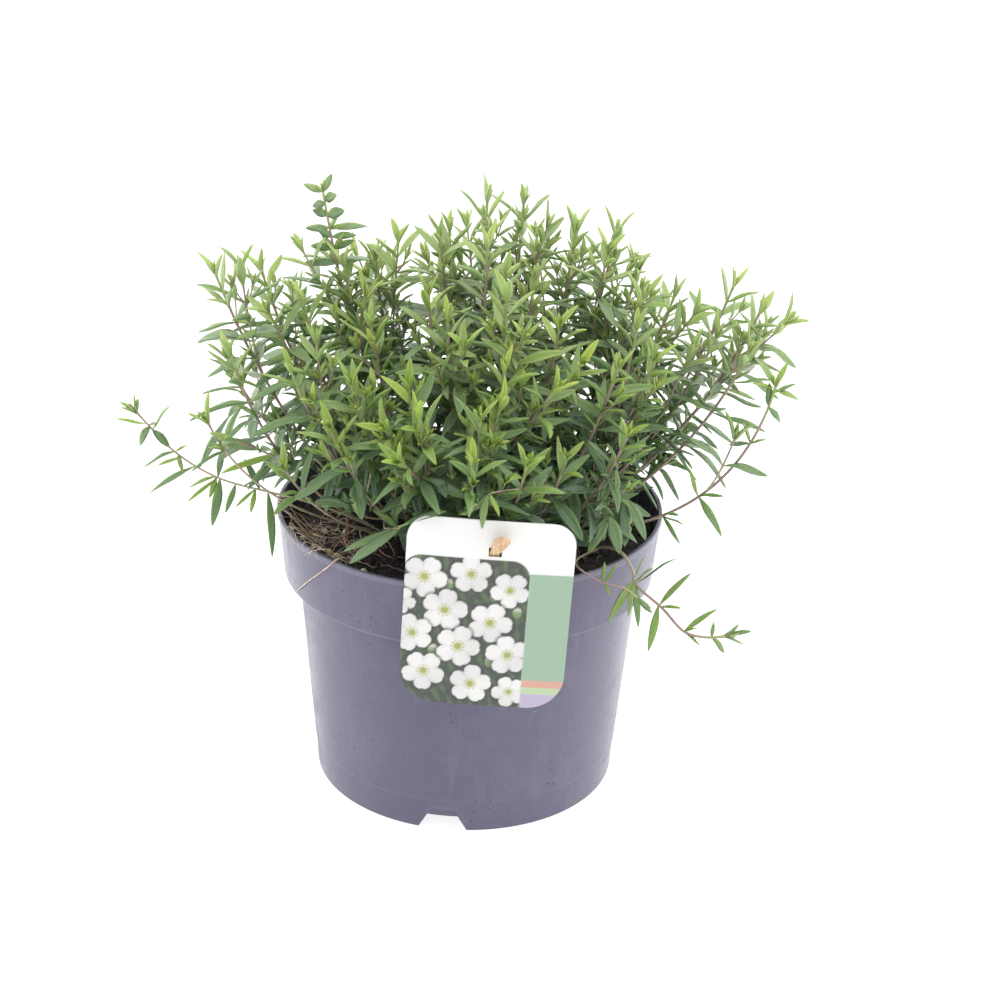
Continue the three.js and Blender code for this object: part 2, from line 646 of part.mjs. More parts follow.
const holes = [solid(makePeg(FIT_GAP))];
plants.forEach(({ owner, stems }) => {
  const foot = stems[0].curve.getPoint(0);
  const radius = CORNER_SHARE * STEM_FOOT_RADIUS + Math.SQRT2 * FIT_GAP;
  const hole = new THREE.CylinderGeometry(radius, radius, 2 * HOLE_DEPTH + 2, 4).rotateX(Math.PI / 2);
  hole.rotateZ(THREE.MathUtils.degToRad(stems[0].turn + 45));
  holes.push(solid(hole.translate(foot.x, foot.y, foot.z)));
  const parts = stems.map((stem) => leafyStem(stem, bladesOf(stem)));
  const name = `shoot_${String(owner + 1).padStart(2, '0')}`;
  addPiece(name, geometryOf(fuse(parts)), '#6f9a45', 0.55);
});

addPiece('pot', geometryOf(makePot()), '#767288', 0.45);
addPiece('soil', geometryOf(makeSoil(holes)), '#2c211b', 0.95);
addPiece('label_card', makeCard(), '#f4f4f2', 0.4);
addPiece('label_peg', makePeg(), '#d7b491', 0.7);

export default group;
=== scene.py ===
# %% [markdown]
# # Mountain sandwort in a nursery pot
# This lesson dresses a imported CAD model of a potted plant: a slate-grey plastic pot, its soil, a
# plant label on a wooden peg and a dome of slender leafy shoots. The CAD holds every piece at its
# real size. Here each piece is made again with a finer surface in the same place, and gets its
# finish from shader nodes.

import math

import bpy
import numpy as np
from mathutils import Matrix, Vector


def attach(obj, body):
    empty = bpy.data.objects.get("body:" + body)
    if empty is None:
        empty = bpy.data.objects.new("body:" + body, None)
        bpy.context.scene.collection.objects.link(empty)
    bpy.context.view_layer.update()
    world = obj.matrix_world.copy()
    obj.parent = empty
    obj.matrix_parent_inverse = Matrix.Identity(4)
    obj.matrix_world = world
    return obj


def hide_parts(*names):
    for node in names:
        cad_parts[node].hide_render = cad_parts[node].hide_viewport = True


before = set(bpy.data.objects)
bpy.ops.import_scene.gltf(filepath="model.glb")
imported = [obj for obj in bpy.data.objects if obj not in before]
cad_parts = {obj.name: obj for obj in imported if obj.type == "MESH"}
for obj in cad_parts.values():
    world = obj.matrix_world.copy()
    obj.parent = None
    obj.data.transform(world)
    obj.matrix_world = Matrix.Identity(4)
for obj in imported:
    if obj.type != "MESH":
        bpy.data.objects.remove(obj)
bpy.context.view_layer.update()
MM = 0.001

# %% [markdown]
# ## Camera
# The view is a product shot from a little above. Distance, height and lens were fitted to the
# ellipses of the pot's rim, collar and foot, so that a point of the model lands where the real
# one was seen. The camera is turned a little about its own line of sight as well, because the
# plant leaned slightly in the shot.

# %% Camera
CAMERA_DISTANCE = 1.0
CAMERA_HEIGHT_ANGLE = math.radians(24.0)
CAMERA_ROLL = math.radians(1.75)
CAMERA_TARGET = Vector((0.0147, 0.0, 0.1436))
LENS_MM = 72.8

line_of_sight = Vector((0, math.cos(CAMERA_HEIGHT_ANGLE), -math.sin(CAMERA_HEIGHT_ANGLE)))
level_up = Vector((0, math.sin(CAMERA_HEIGHT_ANGLE), math.cos(CAMERA_HEIGHT_ANGLE)))
camera_right = Vector((1, 0, 0)) * math.cos(CAMERA_ROLL) + level_up * math.sin(CAMERA_ROLL)
camera_up = level_up * math.cos(CAMERA_ROLL) - Vector((1, 0, 0)) * math.sin(CAMERA_ROLL)
camera_data = bpy.data.cameras.new("camera")
camera_data.lens = LENS_MM
camera_data.sensor_width = 36.0
camera = bpy.data.objects.new("camera", camera_data)
turn = Matrix((camera_right, camera_up, -line_of_sight)).transposed().to_4x4()
camera.matrix_world = Matrix.Translation(CAMERA_TARGET - CAMERA_DISTANCE * line_of_sight) @ turn
bpy.context.scene.collection.objects.link(camera)
bpy.context.scene.camera = camera

# %% [markdown]
# ## Light, backdrop and view
# The shot was taken in a white tent: light comes from everywhere, and most from the lit backdrop
# behind the plant, which the glossy pot mirrors as two pale upright edges. One lamp could not do
# that, so the sky itself grows brighter from the camera's side to the far side. White is kept
# white by the standard view transform.

# %% Light
SKY_FRONT, SKY_BACK = 0.85, 2.35
scene = bpy.context.scene
scene.view_settings.view_transform = "Standard"
world = bpy.data.worlds.new("white_tent")
world.use_nodes = True
sky = world.node_tree
background = sky.nodes["Background"]
background.inputs["Color"].default_value = (1.0, 1.0, 1.0, 1.0)
heading = sky.nodes.new("ShaderNodeTexCoord")
parts = sky.nodes.new("ShaderNodeSeparateXYZ")
growth = sky.nodes.new("ShaderNodeMapRange")
growth.interpolation_type = "SMOOTHSTEP"
for key, number in (("From Min", -0.3), ("From Max", 0.8), ("To Min", SKY_FRONT), ("To Max", SKY_BACK)):
    growth.inputs[key].default_value = number
sky.links.new(heading.outputs["Generated"], parts.inputs["Vector"])
sky.links.new(parts.outputs["Y"], growth.inputs["Value"])
sky.links.new(growth.outputs["Result"], background.inputs["Strength"])
scene.world = world


def soft_box(name, place, aim, width, height, power):
    """A rectangular area light at a place, facing a point, sizes in metres and power in watts."""
    data = bpy.data.lights.new(name, "AREA")
    data.shape = "RECTANGLE"
    data.size, data.size_y = width, height
    data.energy = power
    light = bpy.data.objects.new(name, data)
    light.location = place
    light.rotation_euler = (Vector(aim) - Vector(place)).to_track_quat("-Z", "Y").to_euler()
    scene.collection.objects.link(light)


SIDE_AIM = (0, 0, 0.12)
soft_box("top_box", (0.1, -0.4, 1.5), (0, 0, 0.2), 1.2, 0.9, 7.0)
soft_box("left_box", (-1.3, 0.1, 0.5), SIDE_AIM, 0.9, 1.1, 5.0)
soft_box("right_box", (1.3, 0.1, 0.5), SIDE_AIM, 0.9, 1.1, 5.0)


# %% [markdown]
# ## Meshes from arrays
# Every new surface is worked out as whole numpy arrays: points first, then faces that refer to
# them by number. One function puts such arrays into a mesh. It also takes named values for the
# points, which the materials read later as attributes.

# %% Mesh helpers
def put_mesh(name, points, face_sets, values=None, slots=None):
    """A smooth mesh object from points in millimetres. face_sets is a list of (faces, corners)
    arrays, values maps an attribute's name to one number or colour for each point, and slots
    gives one material number for each face set."""
    corners = np.concatenate([faces.ravel() for faces in face_sets])
    sizes = np.concatenate([np.full(len(faces), faces.shape[1]) for faces in face_sets])
    mesh = bpy.data.meshes.new(name)
    mesh.vertices.add(len(points))
    mesh.vertices.foreach_set("co", (np.asarray(points, float) * MM).ravel())
    mesh.loops.add(len(corners))
    mesh.loops.foreach_set("vertex_index", corners.astype(np.int32))
    mesh.polygons.add(len(sizes))
    mesh.polygons.foreach_set("loop_start", np.concatenate([[0], np.cumsum(sizes)[:-1]]).astype(np.int32))
    if slots is not None:
        numbers = np.concatenate([np.full(len(faces), slot) for faces, slot in zip(face_sets, slots)])
        mesh.polygons.foreach_set("material_index", numbers.astype(np.int32))
    mesh.update(calc_edges=True)
    for key, numbers in (values or {}).items():
        numbers = np.asarray(numbers, np.float32)
        if numbers.ndim == 1:
            mesh.attributes.new(key, "FLOAT", "POINT").data.foreach_set("value", numbers)
        else:
            mesh.attributes.new(key, "FLOAT_COLOR", "POINT").data.foreach_set("color", numbers.ravel())
    mesh.shade_smooth()
    piece = bpy.data.objects.new(name, mesh)
    scene.collection.objects.link(piece)
    return piece


def grid_faces(rows, columns, closed=True):
    """Quads over a grid of points stored row by row. A closed grid joins its last column to its
    first. Rows that rise while columns run anticlockwise face outwards."""
    row = columns * np.arange(rows - 1)[:, None]
    column = np.arange(columns if closed else columns - 1)[None, :]
    beside = (column + 1) % columns
    corners = np.stack([row + column, row + beside, row + columns + beside, row + columns + column], -1)
    return corners.reshape(-1, 4)


def body_faces(rows, columns):
    """Faces of a closed grid with a flat cap over its first row and one over its last."""
    row = np.arange(columns)
    return [grid_faces(rows, columns), row[::-1][None], (rows - 1) * columns + row[None]]


def revolve(profile, angles):
    """Points of a profile of (radius, height) rows turned about Z: x is radius times the cosine of
    the angle, y radius times its sine. Returns (rows, angles, 3)."""
    radius, height = np.asarray(profile, float).T
    around = np.stack([np.cos(angles), np.sin(angles)], -1)
    flat = radius[:, None, None] * around[None]
    return np.concatenate([flat, np.broadcast_to(height[:, None, None], flat.shape[:2] + (1,))], -1)


def join_parts(parts):
    """Several (points, face sets) put together, with face numbers shifted past earlier points."""
    points, face_sets, first = [], [], 0
    for part_points, part_faces in parts:
        points.append(part_points)
        face_sets.extend(faces + first for faces in part_faces)
        first += len(part_points)
    return np.concatenate(points), face_sets


def unit(vectors):
    """Vectors of any array shape, each divided by its own length."""
    return vectors / np.linalg.norm(vectors, axis=-1, keepdims=True)


def smooth(edge_low, edge_high, value):
    """Nought below the first edge, one above the second, and an even S-curve between."""
    share = np.clip((value - edge_low) / (edge_high - edge_low), 0, 1)
    return share * share * (3 - 2 * share)


def scatter(shoot, joint, use):
    """A number from 0 to 1 that is always the same for the same shoot, joint and use: the part
    after the decimal point of a large multiple of a sine."""
    wave = np.sin(np.asarray(shoot) * 12.9898 + np.asarray(joint) * 78.233 + np.asarray(use) * 37.719)
    return wave * 43758.5453 - np.floor(wave * 43758.5453)


# %% [markdown]
# ## Shader maths in plain Python
# A node material is a sum written as boxes and wires. To keep it readable, `Wire` wraps a socket
# and lets `wire * 2 + 1` add the Math nodes for it. `Paint` starts a material and holds the one
# method that adds any other node.

# %% Shader helpers
class Wire:
    """An output socket that takes part in Python expressions on numbers."""

    def __init__(self, paint, socket):
        self.paint, self.socket = paint, socket

    def maths(self, operation, *inputs):
        return self.paint.node("ShaderNodeMath", {"operation": operation}, dict(enumerate(inputs)))

    def __add__(self, other):
        return self.maths("ADD", self, other)

    def __sub__(self, other):
        return self.maths("SUBTRACT", self, other)

    def __rsub__(self, other):
        return self.maths("SUBTRACT", other, self)

    def __mul__(self, other):
        return self.maths("MULTIPLY", self, other)

    __radd__, __rmul__ = __add__, __mul__

    def above(self, edge, softness):
        """Nought below an edge value and one above it, over a soft step."""
        settings = {"interpolation_type": "SMOOTHSTEP"}
        inputs = {"Value": self, "From Min": edge - softness, "From Max": edge + softness}
        return self.paint.node("ShaderNodeMapRange", settings, inputs)


class Paint:
    """A new material with a Principled shader, and the method that adds nodes to it."""

    def __init__(self, name, **fixed):
        self.material = bpy.data.materials.new(name)
        self.material.use_nodes = True
        self.tree = self.material.node_tree
        self.shader = self.tree.nodes["Principled BSDF"]
        self.place = self.node("ShaderNodeTexCoord", output="Object")
        for key, number in fixed.items():
            self.shader.inputs[key.replace("_", " ")].default_value = number

    def node(self, kind, settings=None, inputs=None, output=0):
        """Adds a node: settings first, then the values or wires of its inputs. Gives one output."""
        made = self.tree.nodes.new(kind)
        for key, value in (settings or {}).items():
            if key == "stops":
                self.set_stops(made.color_ramp, value)
            else:
                setattr(made, key, value)
        for key, value in (inputs or {}).items():
            self.plug(made.inputs[key], value)
        return Wire(self, made.outputs[output])

    def plug(self, socket, value):
        if isinstance(value, Wire):
            self.tree.links.new(value.socket, socket)
        else:
            socket.default_value = value

    def set_stops(self, ramp, stops):
        while len(ramp.elements) < len(stops):
            ramp.elements.new(1.0)
        for element, (position, colour) in zip(ramp.elements, stops):
            element.position, element.color = position, (*colour, 1.0)

    def ramp(self, factor, stops):
        return self.node("ShaderNodeValToRGB", {"stops": stops}, {"Fac": factor}, "Color")

    def noise(self, scale, detail=3.0, stretch=None):
        vector = self.place
        if stretch is not None:
            vector = self.node("ShaderNodeMapping", None, {"Vector": vector, "Scale": stretch})
        inputs = {"Vector": vector, "Scale": scale, "Detail": detail}
        return self.node("ShaderNodeTexNoise", None, inputs, "Fac")

    def cells(self, scale):
        inputs = {"Vector": self.place, "Scale": scale}
        return self.node("ShaderNodeTexVoronoi", None, inputs, "Distance")

    def value(self, name):
        """A named value that the mesh carries for each point."""
        return self.node("ShaderNodeAttribute", {"attribute_name": name}, None, "Fac")

    def mix(self, factor, first, second, blend="MIX"):
        """Two colours mixed. A plain colour is three numbers."""
        settings = {"data_type": "RGBA", "blend_type": blend}
        colours = [(*c, 1.0) if isinstance(c, tuple) else c for c in (first, second)]
        return self.node("ShaderNodeMix", settings, {0: factor, 6: colours[0], 7: colours[1]}, 2)

    def finish(self, colour=None, roughness=None, height=None, depth=0.0002):
        """Plugs what changes over the surface into the shader, with height as a bump in metres."""
        for key, wire in (("Base Color", colour), ("Roughness", roughness)):
            if wire is not None:
                self.plug(self.shader.inputs[key], wire)
        if height is not None:
            bump = self.node("ShaderNodeBump", None, {"Height": height, "Distance": depth}, "Normal")
            self.plug(self.shader.inputs["Normal"], bump)
        return self.material


def place_piece(piece, materials, slot, *nodes):
    """Gives a piece its materials, says that it rides on the pot and hides the CAD parts that it
    stands for. Its slot is not used."""
    for material in materials:
        piece.data.materials.append(material)
    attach(piece, "root")
    if nodes:
        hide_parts(*nodes)
    return piece


# %% [markdown]
# ## Floor
# The floor is a plain pale sheet, lit through from below as in a light tent, so that hardly a
# shadow is left.

# %% Floor
FLOOR_HALF = 30000.0
floor_points = FLOOR_HALF * np.array([(-1, -1, 0), (1, -1, 0), (1, 1, 0), (-1, 1, 0)], float)
floor = put_mesh("floor", floor_points, [np.array([(0, 1, 2, 3)])])
floor_paint = Paint("pale_floor", Roughness=0.9, Base_Color=(0.4, 0.4, 0.4, 1.0),
                    Emission_Color=(1.0, 1.0, 1.0, 1.0), Emission_Strength=0.84)
floor.data.materials.append(floor_paint.material)

# %% [markdown]
# ## The pot
# A nursery pot is blown or moulded in thin plastic: a tapered body, a wider collar that stiffens
# the rim, and a foot ring with notches that let water out. It could be a solid with a Bevel
# modifier, but a profile turned about the axis gives exact control of the small steps and rounded
# edges, and their highlights are what make it look moulded. The notches need no cutting: the lower
# edge of the ring is lifted where a notch is, by the same formula inside and out.

# %% Pot sizes
POT_HEIGHT = 142.0
RIM_RADIUS = 95.0
COLLAR_FOOT_RADIUS = 91.8
COLLAR_FOOT_Z = 109.0
BODY_TOP_RADIUS = 84.8
BODY_FOOT_RADIUS = 77.4
FOOT_LINE_Z = 17.0
FOOT_RADIUS = 76.0
WALL = 1.7
FLOOR_UNDERSIDE = 8.0
NOTCH_WIDE, NOTCH_NARROW, NOTCH_HEIGHT = 24.0, 15.0, 8.0
NOTCH_ANGLES = np.radians([-96.6, 23.4, 143.4])
POT_COLUMNS = 168
DRAIN_COUNT, DRAIN_RING, DRAIN_RADIUS = 6, 48.0, 5.0
FLOOR_PLATE_RADIUS, FLOOR_DISC_RADIUS = 62.0, 34.0


def collar_radius(z):
    """The collar widens evenly from its foot to just under the lip."""
    return np.interp(z, (COLLAR_FOOT_Z, POT_HEIGHT), (COLLAR_FOOT_RADIUS, RIM_RADIUS - 0.4))


def body_radius(z):
    """The body widens evenly from the foot line to the collar."""
    return np.interp(z, (FOOT_LINE_Z, COLLAR_FOOT_Z), (BODY_FOOT_RADIUS, BODY_TOP_RADIUS))


ROUNDING_STEPS = 4


def rounded(corners, radius):
    """A profile whose corners are rounded: each corner gives way to a short curve that starts and
    ends a radius away from it, or a little under half of a shorter side."""
    corners = np.asarray(corners, float)
    rows = [corners[:1]]
    for before, corner, after in zip(corners, corners[1:], corners[2:]):
        cut_in = min(radius, 0.45 * np.linalg.norm(corner - before))
        cut_out = min(radius, 0.45 * np.linalg.norm(after - corner))
        start = corner + unit(before - corner) * cut_in
        end = corner + unit(after - corner) * cut_out
        share = np.linspace(0, 1, ROUNDING_STEPS)[:, None]
        rows.append((1 - share) ** 2 * start + 2 * share * (1 - share) * corner + share ** 2 * end)
    return np.concatenate(rows + [corners[-1:]])


# %% Pot surface
def notch_lift(angles):
    """Height of the ring's lower edge: a trapezoid at each notch, nought elsewhere."""
    away = (angles[:, None] - NOTCH_ANGLES + math.pi) % (2 * math.pi) - math.pi
    from_middle = np.abs(away).min(1) * FOOT_RADIUS
    slope = (NOTCH_WIDE - NOTCH_NARROW) / 2
    return np.clip((NOTCH_WIDE / 2 - from_middle) / slope, 0, 1) * NOTCH_HEIGHT


def pot_angles():
    """Even steps round the pot, with extra ones on both ends of each notch's slanted sides."""
    even = np.linspace(-math.pi, math.pi, POT_COLUMNS, endpoint=False)
    arcs = np.array([NOTCH_WIDE / 2, NOTCH_NARROW / 2]) / FOOT_RADIUS
    edges = (NOTCH_ANGLES[:, None] + np.concatenate([arcs, -arcs])).ravel()
    edges = (edges + math.pi) % (2 * math.pi) - math.pi
    even = even[np.abs(even[:, None] - edges).min(1) > 0.006]
    return np.sort(np.concatenate([even, edges]))


def floor_plate(bottom, top):
    """The pot's floor within the ring that the wall stands on. Each of its sectors is a grid that
    runs from the sector's border to the drain hole in it, with corners on straight lines between
    the two. Upper side, underside and the holes' walls are separate, which keeps edges crisp."""
    half = math.pi / DRAIN_COUNT
    arc = np.linspace(-half, half, 17)
    outer = FLOOR_PLATE_RADIUS * np.stack([np.cos(arc), np.sin(arc)], -1)
    inner = FLOOR_DISC_RADIUS * np.stack([np.cos(arc), np.sin(arc)], -1)[::-1]
    side = np.linspace(0, 1, 6)[1:-1, None]
    border = np.concatenate([outer, outer[-1] + (inner[0] - outer[-1]) * side, inner,
                             inner[-1] + (outer[0] - inner[-1]) * side])
    middle = np.array([DRAIN_RING, 0.0])
    hole = middle + DRAIN_RADIUS * unit(border - middle)
    share = np.array([0, 0.5, 1])[:, None, None]
    sheet = border + (hole - border) * share
    parts = []
    for k in range(DRAIN_COUNT):
        turn = 2 * half * k
        spin = np.array([(math.cos(turn), math.sin(turn)), (-math.sin(turn), math.cos(turn))])
        for flat, heights, flip in ((sheet, (top,) * 3, 1), (sheet, (bottom,) * 3, -1),
                                    (np.stack([hole, hole]), (bottom, top), -1)):
            turned = flat @ spin
            level = np.broadcast_to(np.array(heights)[:, None, None], turned.shape[:2] + (1,))
            faces = grid_faces(len(flat), len(border))
            parts.append((np.concatenate([turned, level], -1).reshape(-1, 3), [faces[:, ::flip]]))
    ring = np.linspace(0, 2 * math.pi, 16 * DRAIN_COUNT, endpoint=False) + half
    for level, flip in ((top, 1), (bottom, -1)):
        disc = revolve([(FLOOR_DISC_RADIUS, level)], ring)[0]
        parts.append((disc, [np.arange(len(ring))[::flip][None]]))
    return join_parts(parts)


def make_pot():
    """Outer wall from the foot up over the lip, then the inner wall, the floor's border, and last
    the ring's inside and the raised underside: one closed profile. The floor plate fills it. A
    thin pot is never quite round, so it swells a little along one axis towards the top."""
    floor_top = FLOOR_UNDERSIDE + WALL
    profile = rounded([
        (FLOOR_PLATE_RADIUS, FLOOR_UNDERSIDE),
        (FOOT_RADIUS - WALL, FLOOR_UNDERSIDE),
        (FOOT_RADIUS - WALL, 0),
        (FOOT_RADIUS, 0),
        (BODY_FOOT_RADIUS - 0.5, FOOT_LINE_Z - 0.6),
        (BODY_FOOT_RADIUS, FOOT_LINE_Z),
        (BODY_TOP_RADIUS, COLLAR_FOOT_Z),
        (COLLAR_FOOT_RADIUS, COLLAR_FOOT_Z),
        (collar_radius(POT_HEIGHT - 3), POT_HEIGHT - 3),
        (RIM_RADIUS, POT_HEIGHT - 2.4),
        (RIM_RADIUS, POT_HEIGHT),
        (RIM_RADIUS - WALL - 0.3, POT_HEIGHT),
        (COLLAR_FOOT_RADIUS - WALL, COLLAR_FOOT_Z + WALL),
        (BODY_TOP_RADIUS - WALL, COLLAR_FOOT_Z + WALL),
        (body_radius(floor_top) - WALL, floor_top),
        (FLOOR_PLATE_RADIUS, floor_top),
    ], 0.55)
    angles = pot_angles()
    points = revolve(profile, angles)
    lift = notch_lift(angles)[None]
    ring = points[..., 2] < FLOOR_UNDERSIDE - 0.01
    points[..., 2] = np.where(ring, np.maximum(points[..., 2], lift * 0.995), points[..., 2])
    swell = 1 + 0.0012 * np.sin(2 * angles + 0.7)[None] * smooth(20, POT_HEIGHT, points[..., 2])
    points[..., :2] *= swell[..., None]
    walls = points.reshape(-1, 3), [grid_faces(*points.shape[:2])]
    return put_mesh("pot_shell", *join_parts([walls, floor_plate(FLOOR_UNDERSIDE, floor_top)]))


pot = make_pot()
print("pot faces:", len(pot.data.polygons))


# %% [markdown]
# ## Pot plastic
# Recycled plastic is never one flat colour. The slate grey gets a faint cloudiness, a dusty film
# in patches, fine upright scuffs from stacking, small dark specks of soil and a few pale nicks.
# The film and the scuffs are rougher than the plastic, so highlights break up.

# %% Pot plastic
# Heights of the edges that get a painted highlight, in metres, as Object coordinates count them.
COLLAR_EDGE_HEIGHT, LIP_HEIGHT = 0.1096, 0.1395


def pot_plastic():
    """Slate-grey plastic with film, scuffs, specks and nicks, and a painted highlight on the lip and the
    collar's edge, laid over it in turn.
    """
    paint = Paint("pot_plastic", Specular_IOR_Level=0.45)
    height = paint.node("ShaderNodeSeparateXYZ", None, {"Vector": paint.place}, "Z")
    cloud = paint.noise(9.0, 4.0)
    fine = paint.noise(260.0, 3.0)
    scuffs = paint.noise(60.0, 4.0, stretch=(3.0, 3.0, 0.25)).above(0.62, 0.07)
    dust = (paint.noise(28.0, 6.0) + paint.noise(140.0, 2.0) * 0.5).above(0.86, 0.16)
    colour = paint.ramp(cloud, [(0.3, (0.096, 0.090, 0.146)), (0.7, (0.118, 0.111, 0.176))])
    colour = paint.mix(dust * 0.12, colour, (0.24, 0.23, 0.28))
    colour = paint.mix(scuffs * 0.09, colour, (0.30, 0.29, 0.36))
    specks = (1 - paint.cells(230.0).above(0.12, 0.03)) * paint.noise(22.0, 2.0).above(0.57, 0.05)
    colour = paint.mix(specks * 0.8, colour, (0.028, 0.022, 0.018))
    nicks = (1 - paint.cells(190.0).above(0.07, 0.02)) * paint.noise(31.0, 1.0).above(0.64, 0.04)
    colour = paint.mix(nicks * 0.55, colour, (0.50, 0.48, 0.52))
    # Painted highlight: the lip's top band and a thin line along the collar's edge are painted lighter.
    above_edge = height - COLLAR_EDGE_HEIGHT
    from_edge = above_edge.maths("ABSOLUTE", above_edge)
    painted_edge_highlight = height.above(LIP_HEIGHT, 0.0006) * 0.14 + (1 - from_edge.above(0.0006, 0.0004)) * 0.12
    colour = paint.mix(painted_edge_highlight, colour, (0.42, 0.41, 0.50))
    roughness = fine * 0.10 + dust * 0.14 + scuffs * 0.10 + 0.20
    relief = fine * 0.12 + cloud * 0.6 + specks * 1.2
    return paint.finish(colour, roughness, relief, 0.0001)


place_piece(pot, [pot_plastic()], "pot_plastic", "pot")

# %% [markdown]
# ## Soil
# The top of the soil is a disc of points on rings, lifted by the same heap formula as the CAD,
# with smaller and smaller lumps added on top. Its side and floor are the pot's inside, a little
# smaller. Lumps, crumbs, fibres and feed pellets that stand out of it are modelled after it.

# %% Soil sizes and height
SOIL_LEVEL = 131.0
FIT_GAP = 0.35
SOIL_RINGS = 92
SOIL_COLUMNS = 264


def soil_height(x, y):
    """Height of the soil at a place: a heap to the left front, two wave patterns for clods, and a
    dip to the wall."""
    mound = 2.4 * np.exp(-((x + 45) ** 2 + (y + 40) ** 2) / 1500)
    clods = 0.8 * np.sin(x / 9 + 1) * np.cos(y / 8) + 0.5 * np.sin(x / 4.1) * np.sin(y / 3.7 + 0.6)
    return SOIL_LEVEL + mound + clods - 2 * smooth(74, 92, np.hypot(x, y))


def soil_lumps(x, y):
    """Small lumps for the seen surface: ridged sine waves, each finer and flatter than the last."""
    total = np.zeros_like(x)
    for step, (width, height) in enumerate([(3.1, 0.55), (1.9, 0.42), (1.1, 0.30), (0.7, 0.18)]):
        bend = 1.7 * np.sin(y / (2.3 * width) + step) + 0.9 * np.sin((x - y) / (3.1 * width))
        lean = 1.5 * np.cos(x / (2.9 * width) + 2 * step)
        total += height * (1 - 2 * np.abs(np.sin(x / width + bend) * np.cos(y / width + lean)))
    return total


# %% Soil surface
def make_soil():
    """The side's profile is turned as it is. Each ring of the top gets its heights from the heap and
    lump formulas, which calm down towards the wall."""
    angles = np.linspace(0, 2 * math.pi, SOIL_COLUMNS, endpoint=False)
    floor = FLOOR_UNDERSIDE + WALL + FIT_GAP
    shoulder = COLLAR_FOOT_Z + WALL + FIT_GAP
    edge = collar_radius(SOIL_LEVEL - 3) - WALL - FIT_GAP
    side = [(0.5, floor), (body_radius(floor) - WALL - FIT_GAP, floor),
            (BODY_TOP_RADIUS - WALL - FIT_GAP, shoulder),
            (COLLAR_FOOT_RADIUS - WALL - FIT_GAP, shoulder)]
    top = [(radius, SOIL_LEVEL) for radius in np.linspace(edge, 0.4, SOIL_RINGS)]
    points = revolve(side + top, angles)
    x, y = points[len(side):, :, 0], points[len(side):, :, 1]
    calm = 0.35 + 0.65 * smooth(0.4, 10, edge - np.hypot(x, y))
    points[len(side):, :, 2] = soil_height(x, y) + calm * soil_lumps(x, y) * 0.8
    return put_mesh("soil_top", points.reshape(-1, 3), body_faces(*points.shape[:2]))


soil = make_soil()


def soil_paint(name, light):
    """Peat: near black where moist, brown on its dry crumbs, with pale flecks."""
    paint = Paint(name, Specular_IOR_Level=0.25)
    grain = paint.noise(420.0, 6.0)
    patches = paint.noise(70.0, 3.0)
    stops = [(0.36, (0.017, 0.014, 0.015)), (0.52, (0.046, 0.038, 0.041)), (0.66, (0.114, 0.090, 0.084))]
    lit_stops = [(place, tuple(part * light for part in tint)) for place, tint in stops]
    colour = paint.ramp(grain * 0.6 + patches * 0.4, lit_stops)
    flecks = (1 - paint.cells(420.0).above(0.10, 0.04)) * paint.noise(90.0, 1.0).above(0.62, 0.05)
    colour = paint.mix(flecks * 0.7, colour, (0.42, 0.34, 0.25))
    return paint.finish(colour, grain * 0.2 + 0.72, grain + patches, 0.0006)


place_piece(soil, [soil_paint("peat", 1.0)], "soil", "soil")


# %% [markdown]
# ## Crumbs and feed pellets
# About a thousand small bodies lie on the soil. Each is a low, dented ball: the twelve corners and
# twenty faces of an icosahedron, split in four, stretched and turned by seeded draws. All copies
# are worked out in one array, so a few lines make a mesh of a thousand crumbs.

# %% Small bodies
def ball(rounds):
    """An icosahedron whose faces are split in four, rounds times over, all on the unit ball."""
    golden = (1 + 5 ** 0.5) / 2
    points = [(a, b * golden, 0) for a in (-1, 1) for b in (-1, 1)]
    points = np.array(points + [(0, a, b * golden) for a in (-1, 1) for b in (-1, 1)]
                      + [(b * golden, 0, a) for a in (-1, 1) for b in (-1, 1)], float)
    gap = np.linalg.norm(points[:, None] - points[None], axis=-1)
    near = np.isclose(gap, 2.0)
    faces = [(a, b, c) for a in range(12) for b in range(a + 1, 12) for c in range(b + 1, 12)
             if near[a, b] and near[b, c] and near[a, c]]
    points, faces = unit(points), np.array(faces)
    for _ in range(rounds):
        sides = np.stack([faces, np.roll(faces, -1, 1)], -1).reshape(-1, 2)
        keys, places = np.unique(np.sort(sides, 1), axis=0, return_inverse=True)
        middles = len(points) + places.reshape(-1, 3)
        points = np.concatenate([points, unit(points[keys].sum(1))])
        a, b, c = faces.T
        ab, bc, ca = middles.T
        faces = np.stack([a, ab, ca, ab, b, bc, ca, bc, c, ab, bc, ca], -1).reshape(-1, 3)
    first, second, third = points[faces].transpose(1, 0, 2)
    inward = np.einsum("ij,ij->i", np.cross(second - first, third - first), first) < 0
    faces[inward] = faces[inward][:, ::-1]
    return points, faces


def scatter_balls(name, centres, sizes, stretch, rounds, seed):
    """Copies of a dented ball at each centre, with a size of their own and a random turn."""
    draws = np.random.default_rng(seed)
    points, faces = ball(rounds)
    count = len(centres)
    turns = np.linalg.qr(draws.normal(size=(count, 3, 3)))[0]
    turns *= np.sign(np.linalg.det(turns))[:, None, None]
    dents = 1 + 0.22 * draws.normal(size=(count, len(points), 1)).clip(-1, 1) * stretch
    shapes = points[None] * dents * draws.uniform(1 - 0.45 * stretch, 1, (count, 1, 3))
    placed = np.einsum("nij,nkj->nki", turns, shapes) * np.asarray(sizes)[:, None, None] + centres[:, None]
    all_faces = faces[None] + len(points) * np.arange(count)[:, None, None]
    return put_mesh(name, placed.reshape(-1, 3), [all_faces.reshape(-1, 3)])


